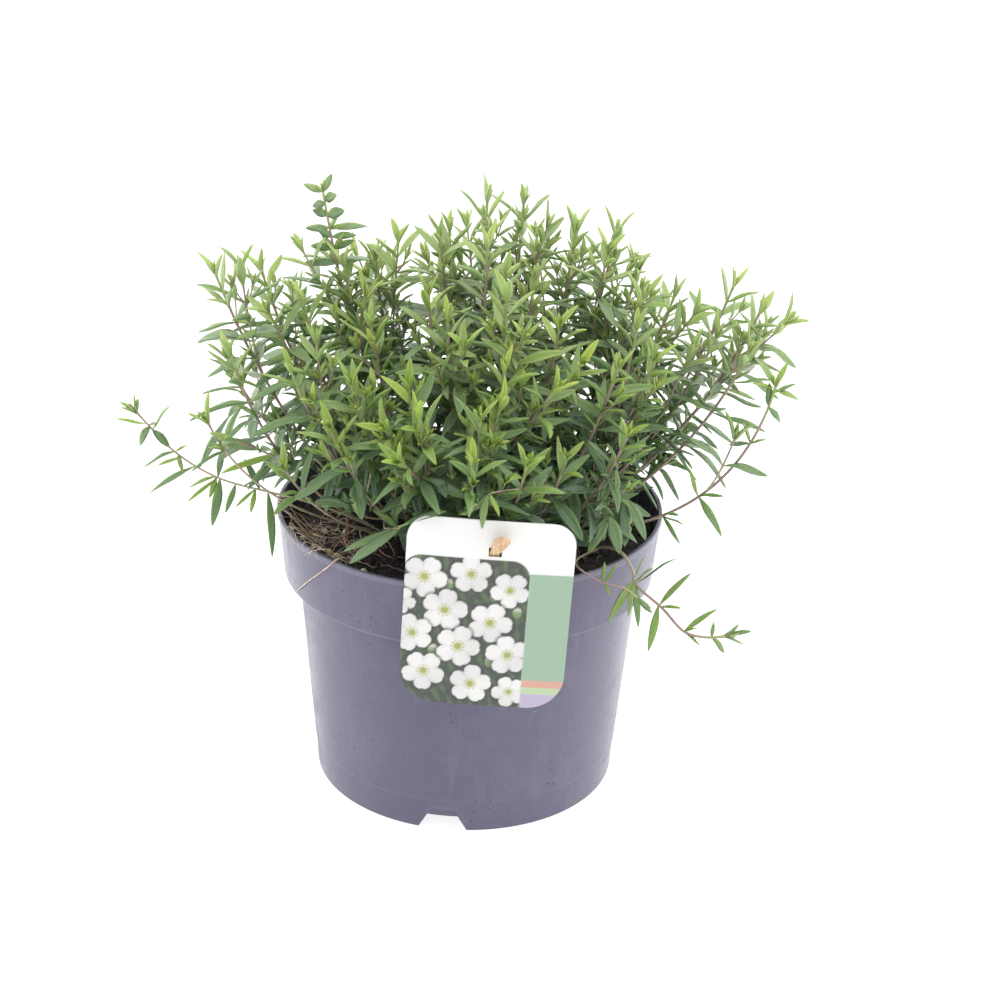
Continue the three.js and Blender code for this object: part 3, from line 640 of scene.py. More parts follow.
# %% Crumbs and pellets
CRUMB_COUNT, CRUMB_REACH = 1050, 89.0
PELLETS = [(-80, -28), (-66, -44), (-62, -50), (-48, -64), (-60, -20), (64, -52), (30, 74), (-42, 66),
           (78, 22), (-74, -36), (-70, -22), (10, 62), (-14, -76), (44, -60)]
PELLET_RADIUS = 2.0


def on_soil(x, y, lift):
    """Points that lie on the soil, a given height above its lumps' middle level."""
    return np.stack([x, y, soil_height(x, y) + lift], -1)


draws = np.random.default_rng(7)
out = CRUMB_REACH * np.sqrt(draws.uniform(0, 1, CRUMB_COUNT))
around = draws.uniform(0, 2 * math.pi, CRUMB_COUNT)
crumb_sizes = draws.gamma(2.2, 0.36, CRUMB_COUNT).clip(0.3, 2.4)
crumb_centres = on_soil(out * np.cos(around), out * np.sin(around), 0.3 + 0.2 * crumb_sizes)
crumbs = scatter_balls("soil_crumbs", crumb_centres, crumb_sizes, 1.0, 1, 8)
place_piece(crumbs, [soil_paint("peat_crumbs", 1.35)], "soil")

pellet_x, pellet_y = np.array(PELLETS, float).T
pellet_sizes = PELLET_RADIUS * draws.uniform(0.75, 1.0, len(PELLETS))
pellets = scatter_balls("feed_pellets", on_soil(pellet_x, pellet_y, 0.9), pellet_sizes, 0.16, 2, 9)
coating = Paint("feed_pellet")
coating_tint = coating.ramp(coating.noise(300.0), [(0.3, (0.58, 0.58, 0.30)), (0.7, (0.82, 0.85, 0.55))])
place_piece(pellets, [coating.finish(coating_tint, coating.noise(200.0) * 0.2 + 0.3)], "soil")
print("crumbs:", CRUMB_COUNT, "pellets:", len(PELLETS))


# %% [markdown]
# ## Tubes for roots and stems
# A root or a stem is a ring of points carried along a path. At each path point two directions
# square to the path are needed. One is the path's heading crossed with a fixed direction, the
# other completes the set, and the ring is drawn in these two.

# %% Tubes
def headings(path):
    """Directions along paths of shape (..., points, 3)."""
    return unit(np.gradient(path, axis=-2))


def tube(path, radii, sides, turn=0.0, reference=(0.0, 1.0, 0.0)):
    """Ring points along a path: centre plus radius times (across cos a + along sin a). Returns the
    points, quads and two end caps as face sets, with the last ring closed to a blunt end."""
    ahead = headings(path)
    across = unit(np.cross(np.asarray(reference, float), ahead))
    along = np.cross(ahead, across)
    angles = turn + np.linspace(0, 2 * math.pi, sides, endpoint=False)
    ring = across[:, None] * np.cos(angles)[:, None] + along[:, None] * np.sin(angles)[:, None]
    points = path[:, None] + ring * np.asarray(radii)[:, None, None]
    return points.reshape(-1, 3), body_faces(len(path), sides)


# %% [markdown]
# ## Fine roots
# Tan feeder roots mat the soil by the left rim and stand up from it in loops, some reach over the
# rim's edge, and the stub of an old stem stands between them. Each root wanders: its heading
# changes by small seeded steps, and its height follows the soil and a single arch.

# %% Fine roots
ROOT_COUNT = 78
ROOT_STEPS = 26
RIM_LOOPS, RIM_LOOP_ARC = 18, 44
MAT_START, MAT_END = 184, 230
INNER_REACH = 88.5


def wandering_root(start, heading, length, loop, seed):
    """A path on the soil whose heading drifts by a running sum of seeded steps, raised in the
    middle by a loop's height."""
    draws = np.random.default_rng(seed)
    steps = heading + np.cumsum(draws.normal(0, 0.32, ROOT_STEPS))
    ahead = np.stack([np.cos(steps), np.sin(steps)], -1)
    flat = np.array(start) + np.cumsum(ahead, 0) * length / ROOT_STEPS
    reach = np.hypot(*flat.T)
    flat *= (np.minimum(reach, INNER_REACH) / reach)[:, None]
    lift = 0.7 + 0.6 * np.abs(np.sin(np.linspace(0, 9, ROOT_STEPS) + seed))
    return on_soil(flat[:, 0], flat[:, 1], lift + loop * np.sin(np.linspace(0, math.pi, ROOT_STEPS)))


def through(points, count):
    """A smooth path through given points: cubic pieces with each point's slope taken from
    its neighbours."""
    points = np.asarray(points, float)
    slopes = np.gradient(points, axis=0)
    place = np.linspace(0, len(points) - 1, count)
    piece = np.minimum(place.astype(int), len(points) - 2)
    t = (place - piece)[:, None]
    low, high, leave, arrive = points[piece], points[piece + 1], slopes[piece], slopes[piece + 1]
    return ((1 + 2 * t) * (1 - t) ** 2 * low + t * (1 - t) ** 2 * leave
            + t ** 2 * (3 - 2 * t) * high + t ** 2 * (t - 1) * arrive)


def make_roots():
    """The mat of roots, most of them in the arc by the left rim, and the loops that reach over the
    rim's edge there."""
    draws = np.random.default_rng(21)
    parts = []
    for number in range(ROOT_COUNT):
        at_rim = number % 8 != 0
        angle = math.radians(draws.uniform(MAT_START, MAT_END) if at_rim else draws.uniform(0, 360))
        reach = draws.uniform(64, 88) if at_rim else draws.uniform(30, 86)
        start = (reach * math.cos(angle), reach * math.sin(angle))
        loop = draws.uniform(0, 8) ** 2 / 8 if at_rim else 0.5
        heading, length = draws.uniform(0, 2 * math.pi), draws.uniform(9, 34)
        path = wandering_root(start, heading, length, loop, 100 + number)
        radius = draws.uniform(0.13, 0.30)
        parts.append(tube(path, np.linspace(radius, radius * 0.45, ROOT_STEPS), 5, reference=(0, 0, 1)))
    for number in range(RIM_LOOPS):
        angle = math.radians(MAT_START + RIM_LOOP_ARC * (number + draws.uniform(0, 1)) / RIM_LOOPS)
        reach = np.array([78, 84, 89, 93, 95.5, 97.0]) + (0, 0, 0, 0, 0, draws.uniform(-1, 2.5))
        turns = angle + np.cumsum(draws.normal(0, 0.05, 6))
        height = np.array([133, 136, 140.5, 143.3, 143.2, 141.0]) + (0, *draws.uniform(0, 2.2, 4), 0)
        path = through(np.stack([reach * np.cos(turns), reach * np.sin(turns), height], -1), 30)
        parts.append(tube(path, np.linspace(0.22, 0.09, 30), 5, reference=(0, 0, 1)))
    return parts


RIM_ROOT = np.array([(-50, -52, 132.5), (-54.5, -61, 137.5), (-57.5, -68.5, 142.4), (-60.2, -72.8, 143.2),
                     (-63.6, -72.2, 139.5), (-68.4, -66.3, 133), (-73.6, -58.6, 125.5), (-78.4, -51.0, 118),
                     (-82.0, -43.7, 111.5)])
STUB = np.array([(-58.5, -37.5, 130), (-58.8, -34, 134.5), (-58.2, -29, 139), (-58.6, -24, 143.5)])

rim_root = tube(through(RIM_ROOT, 40), np.linspace(0.42, 0.2, 40), 6, reference=(0, 0, 1))
root_points, root_faces = join_parts(make_roots() + [rim_root])
roots = put_mesh("fine_roots", root_points, root_faces)
skin = Paint("root_skin")
skin_tint = skin.ramp(skin.noise(160.0, 2.0), [(0.3, (0.52, 0.36, 0.26)), (0.7, (0.84, 0.68, 0.54))])
place_piece(roots, [skin.finish(skin_tint, skin.noise(300.0) * 0.2 + 0.5)], "soil")

stub_radii = 1.35 - 0.25 * np.linspace(0, 1, 24) + 0.12 * np.sin(np.linspace(0, 11, 24))
stub_points, stub_faces = tube(through(STUB, 24), stub_radii, 10, reference=(1, 0, 0))
stub = put_mesh("old_stem_stub", stub_points, stub_faces)
bark = Paint("stub_bark")
bark_grain = bark.noise(240.0, 4.0, stretch=(1.0, 1.0, 0.3))
bark_tint = bark.ramp(bark_grain, [(0.35, (0.13, 0.045, 0.03)), (0.65, (0.40, 0.17, 0.11))])
place_piece(stub, [bark.finish(bark_tint, bark_grain * 0.2 + 0.6, bark_grain, 0.0003)], "soil")
print("roots:", ROOT_COUNT + RIM_LOOPS + 1)

# %% [markdown]
# ## The label card
# The card is a thin plastic plate with rounded corners and a slot for its peg. Its print has to be
# generic: a white top band, white five-petalled flowers on a dark ground, and a plain green strip.
# The print is worked out as a colour for each point of a fine grid, with soft edges a fraction of
# a millimetre wide, and the grid is pulled to the card's outline so that its edge stays clean.

# %% Card sizes
CARD_WIDTH, CARD_HEIGHT, CARD_THICKNESS = 76.0, 94.0, 0.8
CARD_TOP_CORNER, CARD_BOTTOM_CORNER = 11.0, 17.0
CARD_MIDDLE = np.array([10.0, -96.4, 129.5])
CARD_TILT = math.radians(2.5)
SLOT_RIGHT, SLOT_UP, SLOT_WIDTH, SLOT_HEIGHT = 2.0, 31.6, 5.9, 4.4
CARD_COLUMNS, CARD_ROWS = 150, 186
CARD_BOW = 1.1


def card_half_width(z):
    """Half the card's width at a height: the full half-width, less what a corner's arc takes."""
    half = np.full_like(z, CARD_WIDTH / 2)
    from_top, from_bottom = CARD_HEIGHT / 2 - z, CARD_HEIGHT / 2 + z
    for corner, depth in ((CARD_TOP_CORNER, from_top), (CARD_BOTTOM_CORNER, from_bottom)):
        inside = np.clip(corner - depth, 0, corner)
        half -= corner - np.sqrt(corner ** 2 - inside ** 2)
    return half


# %% Card print
WHITE = (0.80, 0.80, 0.795)
GROUND = (0.036, 0.042, 0.036)
STRIP_GREEN = (0.285, 0.415, 0.305)
FLOWERS = [(-29, 17, 10.4, 10), (-8, 20, 9.6, 50), (10, 13, 9.0, 20), (-19, 1, 10.6, 65),
           (2, -4, 10.2, 5), (-33, -12, 9.6, 35), (-12, -17, 10.4, 0), (11, -20, 10.0, 44),
           (-27, -31, 10.0, 18), (-5, -36, 9.8, 60), (13, -39, 8.0, 30), (-39, 4, 6.9, 12)]
BUDS = [(-18, 14, 2.4), (14, 2, 2.2), (-23, -20, 2.6), (3, -24, 2.2), (-33, 28, 2.4), (3, 9, 2.0)]
STRIP_LEFT, BAND_FOOT = 18.5, 28.0
PETAL_MIDDLE, PETAL_LONG, PETAL_WIDE = 0.56, 0.45, 0.42


def plain(tint, x):
    """One colour for every point of a grid."""
    return np.broadcast_to(np.array(tint), x.shape + (3,))


def layer(colour, tint, cover):
    """A tint laid over a colour where its cover is one."""
    return colour + (np.asarray(tint) - colour) * cover[..., None]


def leafy_ground(x, z):
    """Dark ground with rows of lens-shaped leaves, in three directions: a leaf is the part of a
    row that is nearer to its middle line than a sine arch over its length."""
    picture = plain(GROUND, x)
    for turn, width, tint in ((0.5, 5.4, (0.046, 0.076, 0.040)), (-0.9, 6.3, (0.034, 0.056, 0.036)),
                              (1.9, 4.6, (0.070, 0.110, 0.050))):
        along = x * math.cos(turn) + z * math.sin(turn)
        across = z * math.cos(turn) - x * math.sin(turn) + 1.8 * np.sin(along / 6 + turn)
        row = np.floor(across / width)
        share = along / 11.0 + 0.37 * row
        arch = np.sin(math.pi * (share - np.floor(share))) * width * 0.30
        picture = layer(picture, tint, smooth(-0.1, 0.5, arch - np.abs(across - (row + 0.5) * width)))
    return picture


def flower(colour, x, z, place):
    """One flower. In each fifth of the turn u runs out along a petal and v across it. The petal is
    an egg in u and v with a small notch at its end."""
    centre_x, centre_z, size, turn = place
    reach = np.hypot(x - centre_x, z - centre_z) / size
    angle = np.arctan2(z - centre_z, x - centre_x) + math.radians(turn)
    fifth = 2 * math.pi / 5
    bend = (angle + fifth / 2) % fifth - fifth / 2
    u, v = reach * np.cos(bend), reach * np.sin(bend)
    wide = PETAL_WIDE * (0.72 + 0.42 * u)
    egg = np.hypot((u - PETAL_MIDDLE) / PETAL_LONG, v / wide)
    egg += 0.09 * np.exp(-(v / 0.07) ** 2) * smooth(0.6, 1.0, u) + 0.025 * np.sin(3 * angle + turn)
    colour = layer(colour, (0.018, 0.020, 0.018), (1 - smooth(0.95, 1.45, egg)) * 0.75)
    shade = 0.69 - 0.16 * smooth(0.45, 1.0, np.abs(v) / wide) * (1.15 - u)
    shade += 0.018 * np.cos(60 * v / (0.3 + u)) - 0.05 * np.cos(angle - turn)
    petals = np.stack([shade, shade * 0.995, shade * 0.985], -1)
    colour = layer(colour, petals, 1 - smooth(0.94, 1.03, egg))
    colour = layer(colour, (0.42, 0.46, 0.20), (1 - smooth(0.10, 0.42, reach)) * 0.55)
    colour = layer(colour, (0.33, 0.36, 0.07), 1 - smooth(0.13, 0.19, reach))
    stamens = (1 - smooth(0.02, 0.05, np.abs(reach - 0.27))) * smooth(0.35, 0.75, np.cos(10 * angle))
    return layer(colour, (0.42, 0.30, 0.05), stamens * 0.85)


def bud(colour, x, z, place):
    """A small round bud, lighter above."""
    centre_x, centre_z, size = place
    reach = np.hypot((x - centre_x) / size, (z - centre_z) / (1.25 * size))
    tint = layer(plain((0.16, 0.26, 0.10), x), (0.52, 0.55, 0.42),
                 smooth(-0.2, 0.9, (z - centre_z) / size))
    return layer(colour, tint, 1 - smooth(0.85, 1.05, reach))


def card_print(x, z):
    """The card's colours, worked out layer by layer from the ground up."""
    corner = np.hypot(np.clip(x - (STRIP_LEFT - 9), 0, None), np.clip(z - (BAND_FOOT - 9), 0, None))
    left_corner = np.hypot(np.clip(-30 - x, 0, None), np.clip(z - (BAND_FOOT - 9), 0, None))
    panel = (1 - smooth(8.8, 9.2, corner)) * (1 - smooth(8.8, 9.2, left_corner))
    panel *= 1 - smooth(STRIP_LEFT - 0.2, STRIP_LEFT + 0.2, x)
    picture = leafy_ground(x, z)
    for place in BUDS:
        picture = bud(picture, x, z, place)
    for place in FLOWERS:
        picture = flower(picture, x, z, place)
    colour = layer(plain(WHITE, x), picture, panel)
    strip = smooth(STRIP_LEFT - 0.2, STRIP_LEFT + 0.2, x)
    strip *= 1 - smooth(BAND_FOOT - 6.2, BAND_FOOT - 5.8, z)
    colour = layer(colour, STRIP_GREEN, strip)
    for low, tint in ((-36, (0.60, 0.33, 0.25)), (-39.5, (0.44, 0.56, 0.33)), (-43, (0.45, 0.39, 0.54))):
        colour = layer(colour, tint, strip * (1 - smooth(low + 3.3, low + 3.6, z)))
    return colour


# %% Card surface
def card_grid():
    """Card-plane coordinates: rows that lie closer near both ends, each of them squeezed to the
    outline's width there."""
    z = CARD_HEIGHT / 2 * np.sin(np.linspace(-math.pi / 2, math.pi / 2, CARD_ROWS)) * 0.35
    z += 0.65 * np.linspace(-CARD_HEIGHT / 2, CARD_HEIGHT / 2, CARD_ROWS)
    share = np.linspace(-1, 1, CARD_COLUMNS)
    half = card_half_width(z)
    return share[None] * half[:, None], np.broadcast_to(z[:, None], (CARD_ROWS, CARD_COLUMNS)).copy()


def tilted(right, up):
    """Places right of and above the card's middle, turned by the card's tilt in its own plane."""
    return (right * math.cos(CARD_TILT) + up * math.sin(CARD_TILT),
            up * math.cos(CARD_TILT) - right * math.sin(CARD_TILT))


def make_card():
    """Front and back grids joined along the outline and round the slot. The points nearest to the
    slot's border are moved onto it."""
    x, z = card_grid()
    side, low, high = SLOT_WIDTH / 2, SLOT_UP - SLOT_HEIGHT / 2, SLOT_UP + SLOT_HEIGHT / 2
    beside = x - SLOT_RIGHT
    near_x = np.abs(np.abs(beside) - side) < 0.5 * CARD_WIDTH / CARD_COLUMNS
    in_z = (z > low - 0.6) & (z < high + 0.6)
    x = np.where(near_x & in_z, SLOT_RIGHT + np.sign(beside) * side, x)
    cut_low, cut_high = np.abs(z[:, 0] - low).argmin(), np.abs(z[:, 0] - high).argmin()
    z[cut_low], z[cut_high] = low, high
    quads = grid_faces(CARD_ROWS, CARD_COLUMNS, closed=False)
    middle = x.ravel()[quads].mean(1), z.ravel()[quads].mean(1)
    solid = ~((np.abs(middle[0] - SLOT_RIGHT) < side) & (middle[1] > low) & (middle[1] < high))
    count = x.size
    bow = CARD_BOW * (1 - (x / (CARD_WIDTH / 2)) ** 2) - CARD_BOW / 2
    front = np.stack([x, -bow - CARD_THICKNESS / 2 + 0.4, z], -1).reshape(-1, 3)
    back = front + (0, CARD_THICKNESS, 0)
    faces = quads[solid]
    edges = np.stack([faces, np.roll(faces, -1, 1)], -1).reshape(-1, 2)
    keys = edges[:, 0] * count + edges[:, 1]
    border = edges[~np.isin(edges[:, 1] * count + edges[:, 0], keys)]
    walls = np.stack([border[:, 1], border[:, 0], border[:, 0] + count, border[:, 1] + count], -1)
    points = np.concatenate([front, back])
    points[:, 0], points[:, 2] = tilted(points[:, 0], points[:, 2])
    colours = np.ones((2 * count, 4))
    colours[:, :3] = WHITE
    colours[:count, :3] = card_print(x, z).reshape(-1, 3)
    used = np.unique(faces)
    keep = np.concatenate([used, used + count])
    number = np.zeros(2 * count, int)
    number[keep] = np.arange(len(keep))
    face_sets = [number[faces], number[faces[:, ::-1] + count], number[walls]]
    return put_mesh("card_sheet", points[keep] + CARD_MIDDLE, face_sets, {"print": colours[keep]})


card = make_card()


def card_plastic():
    """Print on plastic: the print's colours with a faint mottle, under a thin clear coat."""
    paint = Paint("printed_card", Coat_Weight=0.25, Coat_Roughness=0.2)
    ink = paint.node("ShaderNodeAttribute", {"attribute_name": "print"}, None, "Color")
    mottle = paint.noise(700.0, 2.0)
    colour = paint.mix(mottle * 0.05, ink, (0.5, 0.5, 0.5))
    return paint.finish(colour, paint.noise(40.0) * 0.1 + 0.30, paint.noise(30.0, 1.0), 0.0001)


place_piece(card, [card_plastic()], "card_plastic", "label_card")
print("card faces:", len(card.data.polygons))

# %% [markdown]
# ## The peg
# The peg is a flat stick of light wood with a round head and a narrow waist that the card hangs
# on. It is drawn as an outline, half-width against length, given a soft pillow section, tilted to
# one side in its own plane and then leant forward through the slot.

# %% Peg
PEG_HEAD, PEG_WAIST, PEG_SHAFT, PEG_THICKNESS = 7.4, 4.7, 5.2, 1.8
PEG_ABOVE, PEG_BELOW, PEG_POINT = 15.0, 60.0, 9.0
PEG_LEAN, PEG_TILT = math.radians(40), math.radians(15)


def peg_half_width(along):
    """Half the peg's width at a place along it: point, shaft, waist and head joined by straight
    slopes, with a half circle at the top."""
    head = PEG_HEAD / 2
    places = (-PEG_BELOW, PEG_POINT - PEG_BELOW, 0, PEG_ABOVE - head)
    half = np.interp(along, places, (0.15, PEG_SHAFT / 2, PEG_WAIST / 2, head))
    over = np.clip(along - (PEG_ABOVE - head), 0, head - 0.01)
    return np.where(along > PEG_ABOVE - head, np.sqrt(head ** 2 - over ** 2), half)


def make_peg():
    """Rings of the pillow section along the peg, tilted and leant so that it passes the slot."""
    along = np.concatenate([np.linspace(-PEG_BELOW, PEG_ABOVE - PEG_HEAD / 2, 70),
                            PEG_ABOVE - PEG_HEAD / 2 + PEG_HEAD / 2 * np.sin(np.linspace(0.06, 1.54, 16))])
    angles = np.linspace(0, 2 * math.pi, 28, endpoint=False)
    pillow = np.sign(np.cos(angles)) * np.abs(np.cos(angles)) ** 0.6
    flat = np.sign(np.sin(angles)) * np.abs(np.sin(angles)) ** 0.6
    half = peg_half_width(along)[:, None]
    width = half * pillow[None]
    thick = np.minimum(PEG_THICKNESS / 2, half * 0.8) * flat[None]
    sideways = along[:, None] * math.sin(PEG_TILT) + width * math.cos(PEG_TILT)
    run = along[:, None] * math.cos(PEG_TILT) - width * math.sin(PEG_TILT)
    slot_x, slot_z = tilted(SLOT_RIGHT, SLOT_UP)
    y = CARD_MIDDLE[1] - run * math.sin(PEG_LEAN) - thick * math.cos(PEG_LEAN)
    z = CARD_MIDDLE[2] + slot_z + run * math.cos(PEG_LEAN) - thick * math.sin(PEG_LEAN)
    points = np.stack([CARD_MIDDLE[0] + slot_x + sideways, y, z], -1)
    return put_mesh("wooden_peg", points.reshape(-1, 3), body_faces(*points.shape[:2]))


def peg_wood():
    """Light wood, with its grain stretched along the peg."""
    paint = Paint("peg_wood", Specular_IOR_Level=0.3)
    grain = paint.noise(120.0, 4.0, stretch=(9.0, 1.2, 1.2))
    colour = paint.ramp(grain, [(0.35, (0.50, 0.32, 0.17)), (0.65, (0.72, 0.52, 0.33))])
    return paint.finish(colour, grain * 0.15 + 0.55, grain, 0.00015)


peg = make_peg()
place_piece(peg, [peg_wood()], "peg_wood", "label_peg")

# %% [markdown]
# ## Where the shoots grow
# This table is the CAD's: each shoot's tip in millimetres, how low it arches out, and a side shoot
# that leaves it at a share of its length. Stems are worked out from it by the same curves, so the
# finer shoots stand where the solids do. Only the two stems that reach out furthest to the right
# end a few millimetres sooner, because their fine last leaves are longer than the solids'.

# %% Shoot table
SHOOTS = [
    ((-75, 35, 288), 0, (0.45, -85, 28, 261)), ((-122, -8, 260), 0, (0.6, -112, 8, 258)),
    ((-104, 22, 252), 0, (0.3, -97, -12, 243)), ((-82, 2, 243), 0, (0.3, -52, 6, 246)),
    ((-112, -36, 230), 0.6, (0.45, -110, -50, 192)), ((-82, -52, 228), 0, (0.45, -72, -36, 237)),
    ((-64, 22, 256), 0, None), ((-51, 42, 254), 0, (0.5, -38, 30, 267)),
    ((-14, 46, 268), 0, (0.5, -18, 20, 270)), ((4, 46, 283), 0, (0.4, -6, 62, 266)),
    ((22, 56, 280), 0, (0.45, 34, 40, 273)), ((48, 42, 271), 0, None),
    ((5, 6, 272), 0, (0.5, 14, -12, 262)), ((-22, -5, 252), 0, None),
    ((-12, -26, 246), 0, (0.5, -3, -46, 240)), ((-48, -22, 241), 0, None),
    ((15, -35, 260), 0, (0.5, 24, -48, 246)), ((28, 12, 256), 0, None),
    ((40, -22, 243), 0, (0.35, 50, -48, 234)), ((15, -60, 235), 0, (0.35, 38, -66, 228)),
    ((-54, -62, 227), 0, (0.5, -45, -46, 218)), ((-28, -66, 227), 0, (0.4, -38, -82, 213)),
    ((-22, -86, 221), 0, (0.45, -30, -98, 204)), ((5, -84, 220), 0, (0.5, 14, -74, 222)),
    ((2, -102, 206), 0, None), ((26, -95, 204), 0, None), ((-62, -78, 211), 0, None),
    ((68, 46, 270), 0, (0.4, 63, 20, 267)), ((78, 28, 256), 0, (0.4, 82, 5, 252)),
    ((98, 40, 240), 0, (0.4, 106, 12, 240)), ((116, 0, 233), 0, (0.35, 103, -12, 229)),
    ((126, 32, 249), 0.2, None), ((137, 10, 243), 0.2, (0.6, 149, 0, 241)),
    ((131, -10, 230), 0.3, None), ((141, -34, 221), 1.3, (0.5, 124, -36, 196)),
    ((67, -46, 233), 0, None), ((85, -30, 231), 0, (0.4, 77, -9, 239)),
    ((-122, -46, 200), 0.7, None), ((44, -74, 198), 0.2, None), ((72, -62, 206), 0.3, None),
    ((-84, -66, 186), 0.5, None), ((0, 96, 236), 0, (0.4, -26, 84, 240)),
    ((-46, 92, 236), 0, (0.4, -62, 74, 245)), ((-92, 70, 226), 0, (0.45, -112, 52, 214)),
    ((50, 94, 240), 0, (0.4, 29, 86, 255)), ((95, 76, 222), 0, (0.4, 83, 62, 231)),
    ((-126, 48, 198), 0.7, None), ((130, 62, 200), 0.7, None),
    ((14, 104, 196), 0.6, (0.4, -22, 101, 206)), ((-72, 96, 190), 0.6, None),
    ((76, 96, 196), 0.6, None),
]
TRAILING_SHOOTS = [
    ([(-40, -26, 135.5), (-60, -28, 146), (-81, -30, 154), (-96, -28, 156.5), (-121, -25, 162),
      (-141, -22, 173), (-160, -20, 193)], None),
    ([(56, -40, 134), (64, -52, 144), (72, -63, 146.6), (77, -73, 142.6), (78, -80, 139.3),
      (90.5, -86, 130.2), (101.8, -88, 119), (112, -88, 116.8), (121.5, -88, 117.8)],
     (0.1, (52, -62, 142.5), (51.5, -79, 146), (62, -86, 142.6), (73, -90, 141.6), (80, -93, 137))),
]
STEM_FOOT_RADIUS, STEM_TIP_RADIUS = 1.25, 0.75
SIDE_SHOOT_SCALE = 0.7
FOOT_SHARE, FOOT_REACH = 0.42, 52.0
CURVE_POINTS = 120


# %% Stem curves
def bent_curve(start, bend, end):
    """A curve with one bend: (1-s)^2 start + 2s(1-s) bend + s^2 end, for s from 0 to 1."""
    s = np.linspace(0, 1, CURVE_POINTS)[:, None]
    return (1 - s) ** 2 * start + 2 * s * (1 - s) * bend + s ** 2 * end


def arched_curve(tip, arch):
    """Stands up from the soil at its foot, arches out and ends at the tip."""
    share = min(FOOT_SHARE, FOOT_REACH / math.hypot(tip[0], tip[1]))
    foot = np.array([tip[0] * share, tip[1] * share, 0.0])
    foot[2] = soil_height(foot[0], foot[1]) + 1.5
    lean = np.array([0.65 + 0.15 * arch] * 2 + [0.42 - 0.2 * arch])
    return bent_curve(foot, foot + lean * (np.array(tip) - foot), np.array(tip, float))


def side_curve(parent, share, tip):
    """Leaves its stem along the stem and bends away to its own tip. The share is of the curve's
    own running number s, which for these curves is a share of their points."""
    at = share * (CURVE_POINTS - 1)
    start = np.array([np.interp(at, np.arange(CURVE_POINTS), column) for column in parent.T])
    ahead = unit(parent[min(int(at) + 1, CURVE_POINTS - 1)] - parent[int(at)])
    return bent_curve(start, start + ahead * 0.25 * np.linalg.norm(tip - start), tip)


def routed_curve(points):
    """A smooth curve through given points whose speed follows the square root of the gaps,
    which keeps it from overshooting at short gaps."""
    points = np.asarray(points, float)
    padded = np.concatenate([[2 * points[0] - points[1]], points, [2 * points[-1] - points[-2]]])
    steps = np.sqrt(np.linalg.norm(np.diff(padded, axis=0), axis=1))
    place = np.linspace(0, len(points) - 1, CURVE_POINTS)
    piece = np.minimum(place.astype(int), len(points) - 2)
    w = (place - piece)[:, None]
    p0, p1, p2, p3 = (padded[piece + k] for k in range(4))
    d0, d1, d2 = (steps[piece + k][:, None] for k in range(3))
    leave = ((p1 - p0) / d0 - (p2 - p0) / (d0 + d1) + (p2 - p1) / d1) * d1
    arrive = ((p2 - p1) / d1 - (p3 - p1) / (d1 + d2) + (p3 - p2) / d2) * d1
    return (p1 + leave * w + (3 * (p2 - p1) - 2 * leave - arrive) * w ** 2
            + (2 * (p1 - p2) + leave + arrive) * w ** 3)


# %% Stems as records
ALL_PAIRS = tuple(range(40))
# Stems with listed leaves, and airy stems at the sides, carry only some of their pairs. A
# side shoot's number is its stem's with 0.37 added.
SPARSE_PAIRS = {1: ALL_PAIRS[4:], 5.37: (0, 2), 34: (0, 1, 2, 4, 6, 9), 35: (), 35.37: (0, 2),
                38: (0, 2, 7, 9), 52: (0,), 53: (0,), 53.37: (0,)}


def stem_record(path, number, turn, scale, kind, vigour=1.0, age=0.0, pairs=None):
    """A stem's path with its running length and all that its leaves need to know."""
    if pairs is None:
        pairs = SPARSE_PAIRS.get(round(number, 2), ALL_PAIRS)
    reach = np.concatenate([[0], np.cumsum(np.linalg.norm(np.diff(path, axis=0), axis=1))])
    return {"path": path, "reach": reach, "length": reach[-1], "ahead": headings(path), "number": number,
            "turn": turn, "foot": STEM_FOOT_RADIUS * scale, "tip": STEM_TIP_RADIUS * scale, "kind": kind,
            "vigour": vigour, "age": age, "pairs": np.array(pairs)}


# Stems that lie low over the soil at the left are thinner than the rest, and tan for longer.
LOW_STEMS = (38, 41, 52)
LOW_SCALE, LOW_TAN = 0.78, 0.5


def stems_of(number, main_path, side_path, vigour=1.0):
    """The main stem of a shoot and its side shoot, numbered as in the CAD."""
    turn = 360 * scatter(number, 0, 9)
    scale = LOW_SCALE if number in LOW_STEMS else 1.0
    stems = [stem_record(main_path, number, turn, scale, "main", vigour)]
    if side_path is not None:
        turn = 360 * scatter(number, 1, 9)
        stems.append(stem_record(side_path, number + 0.37, turn, SIDE_SHOOT_SCALE, "side", vigour))
    return stems


shoots = []
for number, (tip, arch, side) in enumerate(SHOOTS, start=1):
    main_path = arched_curve(tip, arch)
    side_path = side and side_curve(main_path, side[0], np.array(side[1:], float))
    shoots.append(stems_of(number, main_path, side_path))
for number, (route, side) in enumerate(TRAILING_SHOOTS, start=len(SHOOTS) + 1):
    main_path = routed_curve(route)
    side_path = None
    if side is not None:
        start = main_path[int(side[0] * (CURVE_POINTS - 1))]
        side_path = routed_curve([start, *side[1:]])
    shoots.append(stems_of(number, main_path, side_path, 0.75))
print("stems:", sum(len(stems) for stems in shoots))


# %% [markdown]
# ## How leaves sit on a stem
# Sandwort leaves grow in facing pairs, and each pair is a quarter turn on from the last. They are
# small and upright at the tip and larger and more spreading below. A leaf's place is found by its
# distance back from the tip along the stem, which needs the stem's running length.

